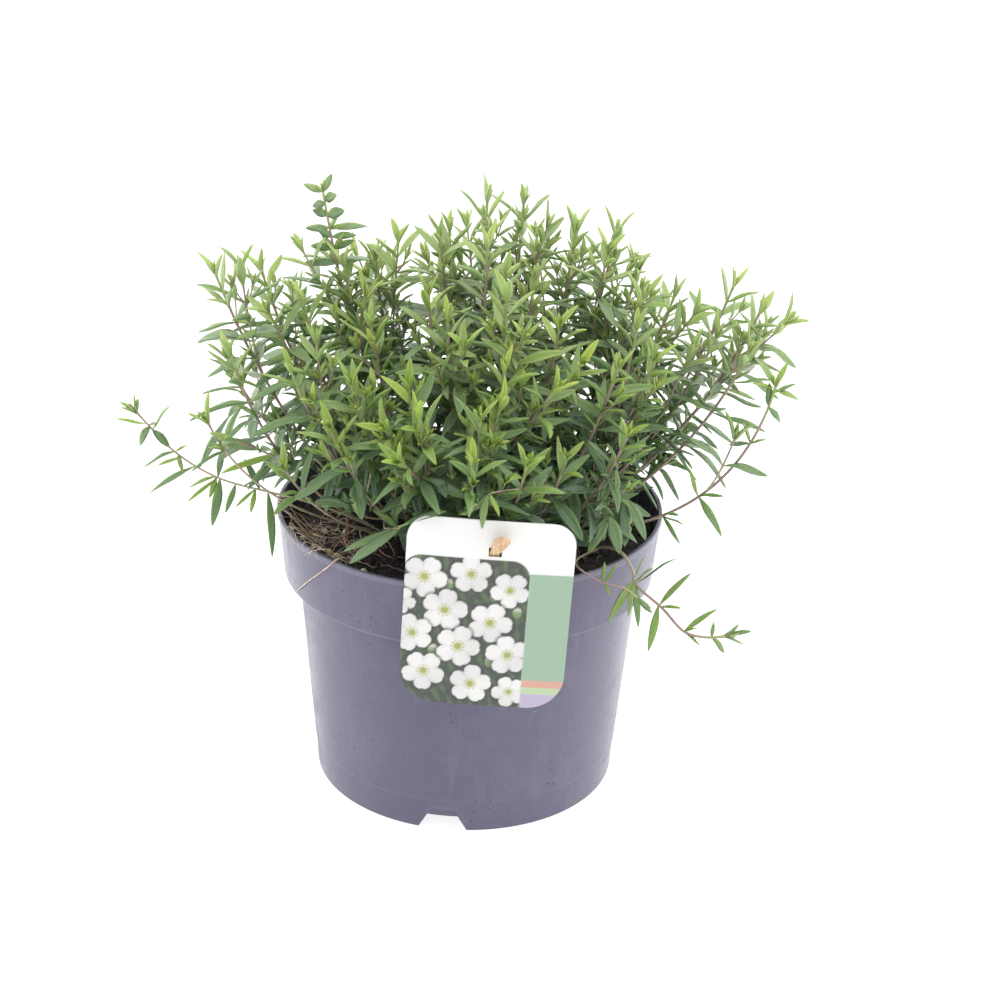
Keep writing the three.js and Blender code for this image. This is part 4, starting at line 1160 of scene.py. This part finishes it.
# %% Places on stems
def place_on(stem, from_tip):
    """Centre, heading, across and radius at distances back from a stem's tip."""
    back = np.clip(stem["length"] - from_tip, 0, stem["length"])
    centre = np.stack([np.interp(back, stem["reach"], column) for column in stem["path"].T], -1)
    ahead = unit(np.stack([np.interp(back, stem["reach"], column) for column in stem["ahead"].T], -1))
    across = unit(np.cross((0.0, 1.0, 0.0), ahead))
    radius = np.interp(back / stem["length"], (0, 1), (stem["foot"], stem["tip"]))
    return centre, ahead, across, radius


def out_from(ahead, across, degrees):
    """The across direction turned about the heading."""
    angle = np.radians(degrees)[:, None]
    return across * np.cos(angle) + np.cross(ahead, across) * np.sin(angle)


def pair_rule(index, vigour):
    """Distance from the tip, blade length and lean for each pair, counted from the tip."""
    from_tip = (3 + 7 * index + 0.35 * index ** 2) * (0.45 + 0.55 * vigour)
    length = np.minimum(14.5 + 3.4 * index, 27) * vigour
    lean = np.minimum(23 + 17 * index, 74)
    return from_tip, length, lean


# %% Leaves of a stem
BARE_FOOT = 9.0
# Leaves in the axils: how far each is turned from its big leaf, its size and its lean against it.
AXIL_LEAVES = [(38, 0.48, 0.60), (-38, 0.42, 0.55), (0, 0.34, 0.36)]
AXIL_SHARE = 0.48
AXIL_OUTER_SHARE = 0.22
AXIL_YOUNGER = 0.12
OUTER_REACH = 84.0


def is_outer(points):
    """Whether points are at the dome's airy sides."""
    return np.hypot(points[:, 0], points[:, 1]) > OUTER_REACH


def leaves_on(stem):
    """All leaves of a stem as arrays: the main pairs, then small leaves in their axils, then the
    close pair at the very tip."""
    last, number = stem["pairs"], stem["number"]
    last = last[pair_rule(last, stem["vigour"])[0] < stem["length"] - BARE_FOOT * stem["vigour"]]
    index, side = (a.ravel() for a in np.meshgrid(last, (0, 1), indexing="ij"))
    from_tip, length, lean = pair_rule(index, stem["vigour"])
    around = stem["turn"] + (index % 2) * 90 + side * 180
    sets = [leaf_arrays(stem, from_tip, around, length, lean, index, side)]
    share = np.where(is_outer(place_on(stem, from_tip)[0]), AXIL_OUTER_SHARE, AXIL_SHARE)
    for use, (sideways, shrink, upright) in enumerate(AXIL_LEAVES):
        grows = (index > 1) & (scatter(number, index, 20 + use + 3 * side) < share)
        if grows.any():
            sets.append(leaf_arrays(stem, from_tip[grows] - 0.8, around[grows] + sideways,
                                    length[grows] * shrink, lean[grows] * upright, index[grows] - 1,
                                    side[grows] + 10 + use, AXIL_YOUNGER))
    heart = np.arange(4)
    inner = heart > 1
    sets.append(leaf_arrays(stem, np.where(inner, 0.4, 1.4), stem["turn"] + 90 + 180 * heart + 45 * inner,
                            np.where(inner, 5.0, 7.5) * (0.4 + 0.6 * stem["vigour"]),
                            np.where(inner, 6, 16), heart * 0 - 1, heart + 30))
    leaves = {key: np.concatenate([some[key] for some in sets]) for key in sets[0]}
    free = is_free(leaves)
    return {key: value[free] for key, value in leaves.items()}


def leaf_arrays(stem, from_tip, around, length, lean, index, use, younger=0.0):
    """Places and shapes of leaves from their position on the stem, with seeded variation. Older
    leaves are flatter, droop and curl more."""
    def draw(extra):
        return scatter(stem["number"], index, use + extra)

    centre, ahead, across, radius = place_on(stem, from_tip)
    face = out_from(ahead, across, around)
    outward = out_from(ahead, across, around + 24 * (draw(0) - 0.5))
    tilt = np.radians(lean + 18 * (draw(2) - 0.5))[:, None]
    direction = ahead * np.cos(tilt) + outward * np.sin(tilt)
    width_axis = unit(np.cross(ahead, outward))
    size = length * (0.85 + 0.3 * draw(4))
    old = np.clip(index / 7.0, 0, 1)
    # Painted shade: leaves low in the dome get a larger colour age, which paints them darker.
    shade = 1 - smooth(150, 245, centre[:, 2])
    age = 0.12 + np.clip(index / 4.0, -0.25, 1) * 0.48 + 0.28 * shade + stem["age"] - younger
    # Painted glare: leaves high, far back and out at the sides are painted paler, as if flared by the
    # bright backdrop.
    pale = smooth(185, 290, centre[:, 2] + 0.4 * centre[:, 1]) + 0.5 * smooth(60, 140, np.abs(centre[:, 0]))
    return {
        "root": centre + face * (radius * 0.45)[:, None],
        "direction": direction,
        "width_axis": width_axis,
        "upper": np.cross(direction, width_axis),
        "size": size,
        "half_width": (0.25 + 0.106 * size) * (0.74 + 0.46 * draw(5)),
        "arch": -0.09 + 0.30 * draw(6) + 0.30 * old * draw(9),
        "fold": 0.48 - 0.26 * old + 0.26 * draw(7),
        "twist": np.radians(110) * (draw(8) - 0.5),
        "sway": 0.36 * (draw(11) - 0.5),
        "wave": (0.03 + 0.05 * old) * (draw(14) - 0.5),
        "age": np.clip(age + 0.20 * (draw(12) - 0.5), 0, 1),
        "tone": draw(13),
        "pale": np.clip(pale, 0, 1),
    }


# %% Room for leaves
def middle_line(leaves, shares):
    """Points of each leaf's middle line: straight out, less the arch and plus the sway, which both
    grow with the square of the share, with one wave up and down. Returns (leaves, shares, 3)."""
    t = np.asarray(shares, float)[None, :, None]
    size, arch, sway, wave = (leaves[key][:, None, None] for key in ("size", "arch", "sway", "wave"))
    direction, upper, wide = (leaves[key][:, None] for key in ("direction", "upper", "width_axis"))
    rise = wave * np.sin(2 * math.pi * t) - arch * t ** 2
    return leaves["root"][:, None] + size * (direction * t + wide * sway * t ** 2 + upper * rise)


CLEARING = (-66.0, -44.0)
CLEARING_RADIUS = 31.0
CLEARING_TOP = 163.0


def is_free(leaves):
    """Which leaves keep out of the soil, the pot's wall and the label card, don't hang in front of
    the card, and leave the clearing by the left rim, where the soil shows. A few points of each
    middle line are tried."""
    x, y, z = np.moveaxis(middle_line(leaves, (0.25, 0.45, 0.65, 0.85, 1.0)), -1, 0)
    half = 0.7 * leaves["half_width"][:, None]
    out = np.hypot(x, y)
    in_soil = (out < RIM_RADIUS) & (z < soil_height(x, y) + 1.0)
    wall = np.where(z > COLLAR_FOOT_Z, collar_radius(z), body_radius(z)) - WALL / 2
    in_wall = (z < POT_HEIGHT + 0.8) & (np.abs(out - wall) < WALL / 2 + 0.3 + half)
    over_card = np.abs(x - CARD_MIDDLE[0]) < CARD_WIDTH / 2 + 1.5
    over_card &= np.abs(z - CARD_MIDDLE[2]) < CARD_HEIGHT / 2 + 1.5
    at_card = over_card & (y < CARD_MIDDLE[1] + 1.8 + half)
    in_clearing = (np.hypot(x - CLEARING[0], y - CLEARING[1]) < CLEARING_RADIUS) & (z < CLEARING_TOP)
    return ~(in_soil | in_wall | at_card | in_clearing).any(1)


# %% [markdown]
# ## One blade, worked out for all leaves at once
# A blade is a ring of points carried from root to tip along an arched, swaying and twisting middle
# line: five across the upper side and one below. The upper side folds up from the midrib, and the
# width follows a lance shape. With the leaves along a first array axis, the stations along a second
# and the ring along a third, one formula makes every leaf of a shoot. Small leaves get fewer
# stations and a ring of four, which saves more than half of the faces.

# %% Blades
STATIONS = np.array([0.0, 0.08, 0.17, 0.28, 0.4, 0.52, 0.64, 0.76, 0.87, 0.95, 1.0])
RING = np.array([(-1.0, 0), (-0.5, 0), (0.0, 0), (0.5, 0), (1.0, 0), (0.0, 1)])
FEW_STATIONS = np.array([0.0, 0.12, 0.28, 0.47, 0.67, 0.87, 1.0])
FEW_RING = RING[[0, 2, 4, 5]]
SMALL_LEAF = 12.5
BLADE_THICKNESS = 0.34


def lance_width(share):
    """Half-width of a lance-shaped blade as a share of its widest: a sine that is raised to a power
    a little below one, so that it fills out, and is drawn in at the root to a narrow stalk."""
    full = np.sin(math.pi * np.clip(share, 0, 1) ** 0.90) ** 0.72
    return 0.03 + 0.10 * (1 - share) + 0.90 * full * (0.62 + 0.38 * smooth(0.0, 0.38, share))


def blades(leaves, stations, ring):
    """Points, faces and point values of many blades. The ring's rows are the place across, from -1
    to 1, and whether the point is on the lower side."""
    t = stations[None, :, None]
    ring_across, ring_under = ring.T
    middle = middle_line(leaves, stations)
    direction, upper, wide = (leaves[key][:, None] for key in ("direction", "upper", "width_axis"))
    arch, wave, fold, full_twist = (leaves[key][:, None, None] for key in ("arch", "wave", "fold", "twist"))
    age, tone, pale = (leaves[key][:, None, None] for key in ("age", "tone", "pale"))
    slope = 2 * math.pi * wave * np.cos(2 * math.pi * t) - 2 * arch * t
    normal = unit(upper - direction * slope)
    twist = full_twist * t ** 1.5
    wide_here = wide * np.cos(twist) + normal * np.sin(twist)
    normal_here = normal * np.cos(twist) - wide * np.sin(twist)
    half = leaves["half_width"][:, None] * lance_width(stations)[None]
    across = ring_across[None, None] * half[..., None]
    ripple = np.sin(2.6 * math.pi * t + 9 * tone + 2 * np.sign(ring_across))
    crimp = 0.16 * age * ripple * ring_across ** 2
    rise = (fold + crimp) * np.abs(across)
    body = BLADE_THICKNESS * (1 - 0.85 * ring_across ** 2) * np.where(ring_under, -0.6, 0.4)
    keel = np.where((ring_under == 1) & (ring_across == 0), -0.16, 0.0)
    groove = np.where((ring_under == 0) & (ring_across == 0), -0.10, 0.0)
    thick = rise + (body + keel + groove) * np.minimum(1, half / 0.9)[..., None]
    points = (middle[:, :, None] + wide_here[:, :, None] * across[..., None]
              + normal_here[:, :, None] * thick[..., None])
    count, rows, sides = points.shape[:3]
    quads, *caps = body_faces(rows, sides)
    shift = rows * sides * np.arange(count)[:, None, None]
    face_sets = [(one[None] + shift).reshape(-1, one.shape[1]) for one in (quads, np.concatenate(caps))]
    values = {"age": age, "tone": tone, "across": np.abs(ring_across), "under": ring_under,
              "along": t, "pale": pale}
    values = {key: np.broadcast_to(value, points.shape[:3]).ravel() for key, value in values.items()}
    return points.reshape(-1, 3), face_sets, values


# %% [markdown]
# ## Twigs
# Short young twigs stand in the axils of the middle pairs and fill the dome between the long
# stems. They are stems like the others, only with less vigour, so the same leaf rule serves them.
# The lower a twig stands, the larger its leaves are, and the darker they are painted, for age and as
# painted shade.

# %% Twigs
TWIG_INDICES = np.arange(2, 14)
TWIG_SHARE = 0.205
TWIG_FOOT_ROOM = 14.0


def twigs_of(stem):
    """Short curved stems that leave a stem at some of its pairs."""
    index, side = (a.ravel() for a in np.meshgrid(TWIG_INDICES, (0, 1), indexing="ij"))
    from_tip = pair_rule(index, stem["vigour"])[0]
    grows = (scatter(stem["number"], index, 40 + side) < TWIG_SHARE + 0.02 * index)
    grows &= (from_tip < stem["length"] - TWIG_FOOT_ROOM) & np.isin(index, stem["pairs"])
    grows &= ~is_outer(place_on(stem, from_tip)[0]) | (scatter(stem["number"], index, 44) < 0.4)
    index, side, from_tip = index[grows], side[grows], from_tip[grows]
    centre, ahead, across, _ = place_on(stem, from_tip)
    outward = out_from(ahead, across, stem["turn"] + (index % 2) * 90 + side * 180 + 14)
    length = np.minimum(12 + 26 * scatter(stem["number"], index, 42 + side), 0.9 * from_tip - 5)
    twigs = []
    for k in range(len(index)):
        leave = unit(ahead[k] * 0.75 + outward[k] * 0.65)
        lift = unit(ahead[k] * 0.9 + outward[k] * 0.25 + np.array((0, 0, 0.35)))
        bend = centre[k] + leave * length[k] * 0.5
        number = stem["number"] + 3.1 * (index[k] + 1) + 0.17 * side[k]
        # Twigs lower on their stem get more vigour and a darker colour age, which is partly painted shade.
        low = np.clip((index[k] - 4) / 8, 0, 1)
        path = bent_curve(centre[k], bend, bend + lift * length[k] * 0.5)
        twigs.append(stem_record(path, number, 360 * scatter(number, 0, 9), 0.5, "twig",
                                 0.70 + 0.14 * low, 0.02 + 0.30 * low))
    return twigs


# %% [markdown]
# ## Twigs placed one by one
# A few low twigs show up clearly at the front, where they lie over the rim and the card. Each is a
# path from its stem, with leaves that reach to given points. On the stems that trail out to both
# sides and on the tall one at the left, the leaves stand clear of all others, so they are placed
# the same way.

# %% Listed twigs
# Shoot, share of its stem where the twig leaves, the twig's further points, and its leaves as
# distance from the twig's tip, end point, half-width and age.
PLACED_TWIGS = [
    (27, 0.30, [(-38, -68, 158), (-31.5, -84, 165.5), (-30.3, -88, 166.5)], [
        (1.0, (-52.5, -93.5, 152.0), 3.4, 0.72), (1.5, (-11.5, -101.0, 184.5), 3.3, 0.65),
        (3.0, (-41.0, -86.0, 176.0), 2.0, 0.45), (0.5, (-27.0, -97.0, 176.0), 1.8, 0.35),
        (9.0, (-56.5, -78.5, 149.5), 2.6, 0.65)]),
    (26, 0.80, [(12, -96, 190), (9, -99, 189.5)], [
        (0.5, (5.5, -101.8, 174.5), 2.0, 0.4), (1.5, (15.5, -101.0, 181.0), 1.6, 0.3)]),
    (40, 0.25, [(58, -52, 158), (66, -61, 164)], [
        (0.5, (71.0, -71.0, 150.5), 3.5, 0.7), (2.0, (55.5, -75.0, 153.0), 3.4, 0.6),
        (6.0, (80.0, -60.0, 152.0), 3.2, 0.75), (9.0, (62.0, -70.0, 158.0), 3.0, 0.65)]),
    (37, 0.22, [(66, -42, 160), (74, -48, 168)], [
        (0.5, (84.0, -58.0, 152.0), 3.3, 0.7), (2.0, (74.5, -64.0, 151.0), 3.5, 0.8),
        (6.0, (86.0, -48.0, 160.0), 3.0, 0.65), (10.0, (70.0, -56.0, 150.0), 3.3, 0.75)]),
]
# Leaves that sit straight on a stem, listed by the stem's number in the same way.
PLACED_LEAVES = {
    1: [(0.5, (-70.5, 34.0, 296.5), 1.9, 0.42), (0.5, (-84.5, 34.0, 291.0), 1.9, 0.5),
        (4.6, (-68.2, 31.0, 288.0), 2.8, 0.7), (6.1, (-79.7, 31.0, 281.7), 2.2, 0.75),
        (12.2, (-64.7, 31.0, 279.7), 3.0, 0.7), (12.2, (-79.8, 33.0, 279.4), 2.3, 0.75),
        (18.2, (-83.8, 33.0, 269.4), 2.0, 0.7), (18.2, (-53.7, 35.0, 272.6), 2.0, 0.65),
        (18.2, (-68.0, 30.0, 276.5), 1.2, 0.2), (19.0, (-64.0, 31.0, 273.5), 1.2, 0.3),
        (22.7, (-58.7, 33.0, 268.0), 2.0, 0.7), (22.7, (-77.1, 30.0, 270.4), 2.0, 0.7),
        (28.6, (-80.3, 30.0, 262.8), 2.2, 0.7), (28.6, (-59.9, 33.0, 265.0), 2.0, 0.65),
        (29.5, (-74.5, 30.0, 268.0), 1.4, 0.4), (29.5, (-65.0, 30.0, 269.0), 1.4, 0.35),
        (36.0, (-84.0, 29.0, 255.0), 2.1, 0.65), (36.0, (-56.0, 31.0, 256.5), 2.1, 0.6)],
    5: [(57.0, (-116.5, -42.0, 171.5), 2.3, 0.22), (59.0, (-105.7, -40.0, 163.8), 2.6, 0.85)],
    35: [(1.0, (132.0, -34.0, 235.3), 2.3, 0.35), (1.0, (144.5, -36.0, 233.0), 1.7, 0.12),
         (1.5, (129.7, -34.0, 222.7), 1.3, 0.15), (2.0, (152.0, -38.0, 216.4), 2.1, 0.3),
         (4.0, (150.1, -34.0, 223.1), 1.4, 0.6), (11.0, (137.3, -34.0, 222.0), 2.0, 0.8),
         (11.0, (144.0, -40.0, 205.5), 1.9, 0.65), (32.0, (138.2, -36.0, 195.4), 1.4, 0.45),
         (32.0, (121.5, -30.0, 189.5), 1.8, 0.85), (32.0, (128.0, -32.0, 202.0), 1.2, 0.4),
         (70.0, (119.0, -38.0, 167.7), 1.5, 0.35), (70.0, (121.2, -42.0, 147.9), 2.2, 0.6),
         (70.0, (103.4, -26.0, 174.3), 1.4, 0.4), (91.0, (100.5, -38.0, 142.0), 1.2, 0.5),
         (91.0, (104.0, -34.0, 149.2), 1.0, 0.55), (90.0, (98.6, -34.0, 155.6), 1.4, 0.4)],
    52: [(1.0, (-166.5, -21.0, 198.5), 1.5, 0.25), (1.0, (-158.5, -21.0, 199.5), 1.3, 0.3),
         (8.0, (-169.0, -24.0, 189.7), 1.1, 0.3), (10.0, (-157.5, -30.0, 180.9), 2.2, 0.55),
         (9.0, (-149.5, -22.0, 188.0), 1.4, 0.5), (12.0, (-143.5, -22.0, 198.2), 1.7, 0.5),
         (12.0, (-143.3, -28.0, 178.8), 2.2, 0.65), (27.0, (-156.6, -27.0, 170.0), 1.6, 0.6),
         (27.0, (-135.8, -21.0, 177.0), 1.1, 0.4), (29.0, (-137.5, -30.0, 167.0), 1.2, 0.3),
         (31.0, (-148.5, -30.0, 169.8), 1.3, 0.3), (39.0, (-154.3, -30.0, 157.1), 2.0, 0.65),
         (41.0, (-116.7, -18.0, 193.0), 2.3, 0.8), (50.0, (-134.4, -31.0, 160.9), 1.4, 0.3),
         (51.0, (-134.7, -34.0, 153.0), 1.3, 0.35), (51.0, (-118.6, -22.0, 178.5), 1.7, 0.85),
         (50.0, (-123.0, -34.0, 155.0), 1.5, 0.4), (52.0, (-121.6, -32.0, 139.1), 2.4, 0.75),
         (60.0, (-115.6, -34.0, 147.3), 1.6, 0.6), (70.0, (-104.5, -32.0, 146.6), 1.3, 0.3),
         (70.0, (-112.0, -32.0, 150.0), 1.2, 0.35), (72.0, (-108.7, -18.0, 170.1), 1.7, 0.75),
         (76.0, (-90.7, -44.0, 129.9), 2.0, 0.7)],
    53: [(0.5, (132.0, -88.0, 121.5), 1.6, 0.5), (7.7, (114.6, -88.0, 124.5), 1.0, 0.4),
         (7.7, (121.1, -89.0, 109.5), 1.8, 0.4), (21.0, (114.9, -87.0, 132.1), 1.7, 0.4),
         (21.5, (109.3, -90.0, 113.8), 1.0, 0.4), (21.0, (107.0, -89.0, 122.5), 0.9, 0.3),
         (38.0, (101.2, -86.0, 148.9), 1.8, 0.4), (37.0, (98.8, -90.0, 133.1), 1.2, 0.35),
         (38.5, (85.4, -95.0, 111.9), 1.9, 0.45), (56.0, (81.0, -84.0, 156.3), 1.7, 0.35),
         (54.0, (85.0, -86.0, 151.4), 1.6, 0.4), (53.0, (95.8, -88.0, 159.3), 1.0, 0.95),
         (53.0, (79.6, -95.0, 125.2), 1.7, 0.5), (55.0, (65.0, -95.0, 128.2), 2.1, 0.35),
         (54.0, (73.8, -95.0, 131.2), 1.3, 0.35)],
    53.37: [(20.0, (63.1, -87.0, 152.7), 1.1, 0.4), (19.0, (68.5, -88.0, 153.8), 1.1, 0.35),
            (19.0, (66.0, -92.0, 139.0), 1.0, 0.4)],
}


def placed_twig(stem, number, share, points):
    """A twig from a share of its stem's points through listed points."""
    start = stem["path"][int(share * (CURVE_POINTS - 1))]
    return stem_record(through([start, *points], 40), number, 0.0, 0.55, "twig", 0.7, 0.35, pairs=())


# Where the upper sides of placed leaves face: up, or forward on the tall shoot at the left.
UP, FORWARD = (0.0, -0.35, 1.0), (0.0, -1.3, 0.7)
TALL_SHOOT = 1


def placed_leaves(stem, leaves, facing=UP):
    """Leaves that reach from their place on a twig to a given point, with the upper side facing
    as nearly the given way as that allows."""
    from_tip, ends, half, age = (np.array(column, float) for column in zip(*leaves))
    centre = place_on(stem, from_tip)[0]
    direction = unit(ends - centre)
    width_axis = unit(np.cross(facing, direction))
    count = len(leaves)
    draw = scatter(stem["number"], np.arange(count), 3)
    # Painted glare: the higher a listed leaf stands, the paler it is painted.
    return {"root": centre, "direction": direction, "width_axis": width_axis,
            "upper": np.cross(direction, width_axis), "size": np.linalg.norm(ends - centre, axis=1),
            "half_width": half, "arch": 0.02 + 0.16 * draw, "fold": 0.2 + 0.15 * draw,
            "twist": 0.7 * (draw - 0.5), "sway": 0.2 * (draw - 0.5), "wave": 0.05 * (draw - 0.5),
            "age": age, "tone": draw, "pale": 0.1 * draw + 0.8 * smooth(230, 290, centre[:, 2])}


# %% [markdown]
# ## Stems
# A stem tapers and is swollen at each pair of leaves, as stems in the pink family are. The ring
# points carry the share of the stem's length, because the skin goes from tan at the foot through
# mauve to green at the tip. Short fine hairs stand off it. Hair curves wouldn't reach the exported
# model, so each hair is a tiny spike of three faces.

# %% Stem surfaces
STEM_SIDES = 7
RING_GAP = 1.6
ROOT_DEPTH = 6.0


def stem_tube(stem):
    """A tube with a swelling at each pair. A main stem also goes straight down into the soil."""
    rings = max(8, int(stem["length"] / RING_GAP))
    back = np.linspace(stem["length"], 0, rings)
    centre, _, _, radius = place_on(stem, back)
    joints = pair_rule(np.append(stem["pairs"], 0), stem["vigour"])[0]
    near = np.abs(back[:, None] - joints[None]).min(1)
    share = 1 - back / stem["length"]
    radius = radius * (0.60 + 0.22 * share + 0.30 * np.exp(-(near / 1.2) ** 2))
    radius[-1] *= 0.4
    if stem["kind"] == "main":
        foot = centre[:1] - (0, 0, ROOT_DEPTH)
        centre, radius = np.concatenate([foot, centre]), np.concatenate([radius[:1], radius])
        share = np.concatenate([[0], share])
    points, face_sets = tube(centre, radius, STEM_SIDES, math.radians(stem["turn"]))
    share = np.clip(share + 0.5 * (scatter(stem["number"], 0, 60) - 0.6) * (1 - share), 0, 1)
    if stem["number"] in LOW_STEMS:
        share = share * LOW_TAN
    return points, face_sets, {"share": np.repeat(share, STEM_SIDES)}


HAIRS_PER_MM = 1.1
GOLDEN_ANGLE = 137.5
HAIR_LENGTH, HAIR_RADIUS, HAIR_SHARE = 0.75, 0.04, 0.15


def stem_hairs(stem):
    """Short hairs that stand off a stem all round it: three-sided spikes, spread by the golden
    angle, with the base a little inside the skin."""
    count = int(stem["length"] * HAIRS_PER_MM)
    number = np.arange(count)
    centre, ahead, across, radius = place_on(stem, 1.0 + (stem["length"] - 2.0) * (number + 0.5) / count)
    out = out_from(ahead, across, GOLDEN_ANGLE * number)
    side = np.cross(ahead, out)
    root = centre + out * (radius * 0.56)[:, None]
    lean = ahead * (0.7 * scatter(stem["number"], number, 50) - 0.2)[:, None]
    length = (HAIR_LENGTH * (0.5 + scatter(stem["number"], number, 51)))[:, None]
    corners = [root + HAIR_RADIUS * (side * math.cos(a) + ahead * math.sin(a)) for a in (0.0, 2.1, 4.2)]
    points = np.stack([*corners, root + (out + lean) * length], 1)
    faces = 4 * number[:, None, None] + np.array([(0, 1, 3), (1, 2, 3), (2, 0, 3)])
    return points.reshape(-1, 3), [faces.reshape(-1, 3)], {"share": np.full(4 * count, HAIR_SHARE)}


# %% [markdown]
# ## Leaf and stem skin
# The youngest leaves at the tips are yellow-green, and leaves grow darker and bluer with age down
# the stem. Leaves low in the dome are painted darker still, as painted shade, and leaves high, far
# back and at the sides are painted paler, as painted glare from the bright backdrop. The midrib is
# a pale line, the underside is paler and duller, and each leaf differs a little. A thin blade lets
# light through, so the shader has some scattering under the surface.

# %% Leaf and stem materials
def leaf_skin():
    """Leaf green by age with painted shade, then mottle, midrib, underside, root and painted glare laid
    over it in turn.
    """
    paint = Paint("leaf_skin", Subsurface_Weight=0.25, Subsurface_Scale=0.0015,
                  Subsurface_Radius=(0.6, 1.0, 0.25), Specular_IOR_Level=0.5)
    age, tone, across = (paint.value(name) for name in ("age", "tone", "across"))
    under, along, pale = (paint.value(name) for name in ("under", "along", "pale"))
    # The ramp's input carries the leaf's age and painted shade, darkest low in the dome.
    colour = paint.ramp(age + (tone - 0.5) * 0.18, [
        (0.0, (0.385, 0.485, 0.070)), (0.22, (0.268, 0.370, 0.078)), (0.5, (0.152, 0.236, 0.090)),
        (0.78, (0.100, 0.167, 0.092)), (1.0, (0.074, 0.128, 0.084)),
    ])
    mottle = paint.noise(230.0, 3.0)
    colour = paint.mix(mottle.above(0.5, 0.2) * 0.22, colour, (0.9, 1.0, 0.55), "MULTIPLY")
    rib = (1 - across.above(0.10, 0.09)) * (1 - along * 0.5)
    colour = paint.mix(rib * 0.36, colour, (0.34, 0.46, 0.18))
    colour = paint.mix(under * 0.45, colour, (0.22, 0.31, 0.16))
    base = 1 - along.above(0.06, 0.08)
    colour = paint.mix(base * 0.35, colour, (0.40, 0.42, 0.16))
    # Painted glare: high and outer leaves are paled as if flared by the bright backdrop.
    colour = paint.mix(pale * 0.24, colour, (0.62, 0.67, 0.52))
    veins = paint.noise(900.0, 2.0, stretch=(1.0, 1.0, 0.35))
    relief = veins * 0.3 + mottle * 1.2 * age - rib * 0.6
    return paint.finish(colour, mottle * 0.14 + under * 0.15 + 0.34, relief, 0.0002)


def stem_skin():
    """Tan, mauve and green by the share of the stem's length, moved about by soft noise."""
    paint = Paint("stem_skin", Specular_IOR_Level=0.35)
    share = paint.value("share")
    colour = paint.ramp(share + (paint.noise(70.0, 2.0) - 0.5) * 0.35, [
        (0.0, (0.47, 0.44, 0.28)), (0.3, (0.44, 0.37, 0.27)), (0.62, (0.32, 0.215, 0.21)),
        (0.85, (0.36, 0.28, 0.21)), (1.0, (0.32, 0.42, 0.15)),
    ])
    grain = paint.noise(500.0, 3.0)
    return paint.finish(colour, grain * 0.2 + 0.42, grain, 0.0001)


leaf_material, stem_material = leaf_skin(), stem_skin()


# %% Build every shoot
def make_shoot(number, stems):
    """One mesh of a shoot: its stems and twigs, with all their leaves."""
    twigs = [twig for stem in stems for twig in twigs_of(stem)]
    growing = [(stem, leaves_on(stem)) for stem in stems + twigs]
    for order, (owner, share, points, leaves) in enumerate(PLACED_TWIGS):
        if owner == number:
            twig = placed_twig(stems[0], 90.0 + order, share, points)
            growing.append((twig, placed_leaves(twig, leaves)))
    for stem in stems:
        if round(stem["number"], 2) in PLACED_LEAVES:
            leaves = PLACED_LEAVES[round(stem["number"], 2)]
            growing.append((None, placed_leaves(stem, leaves, FORWARD if number == TALL_SHOOT else UP)))
    parts = []
    for stem, leaves in growing:
        if stem is not None:
            parts.append((*stem_tube(stem), 1))
            if stem["kind"] != "twig":
                parts.append((*stem_hairs(stem), 1))
        small = leaves["size"] < SMALL_LEAF
        for chosen, stations, ring in ((~small, STATIONS, RING), (small, FEW_STATIONS, FEW_RING)):
            some = {key: value[chosen] for key, value in leaves.items()}
            parts.append((*blades(some, stations, ring), 0))
    values = {key: np.concatenate([known.get(key, np.zeros(len(points))) for points, _, known, _ in parts])
              for key in ("age", "tone", "across", "under", "along", "pale", "share")}
    slots = [slot for _, faces, _, slot in parts for _ in faces]
    points, face_sets = join_parts([part[:2] for part in parts])
    piece = put_mesh(f"leafy_shoot_{number:02d}", points, face_sets, values, slots)
    return place_piece(piece, [leaf_material, stem_material], "foliage", f"shoot_{number:02d}")


foliage = [make_shoot(number, stems) for number, stems in enumerate(shoots, start=1)]
triangles = sum(len(piece.data.loops) - 2 * len(piece.data.polygons) for piece in foliage)
print("foliage triangles:", triangles)
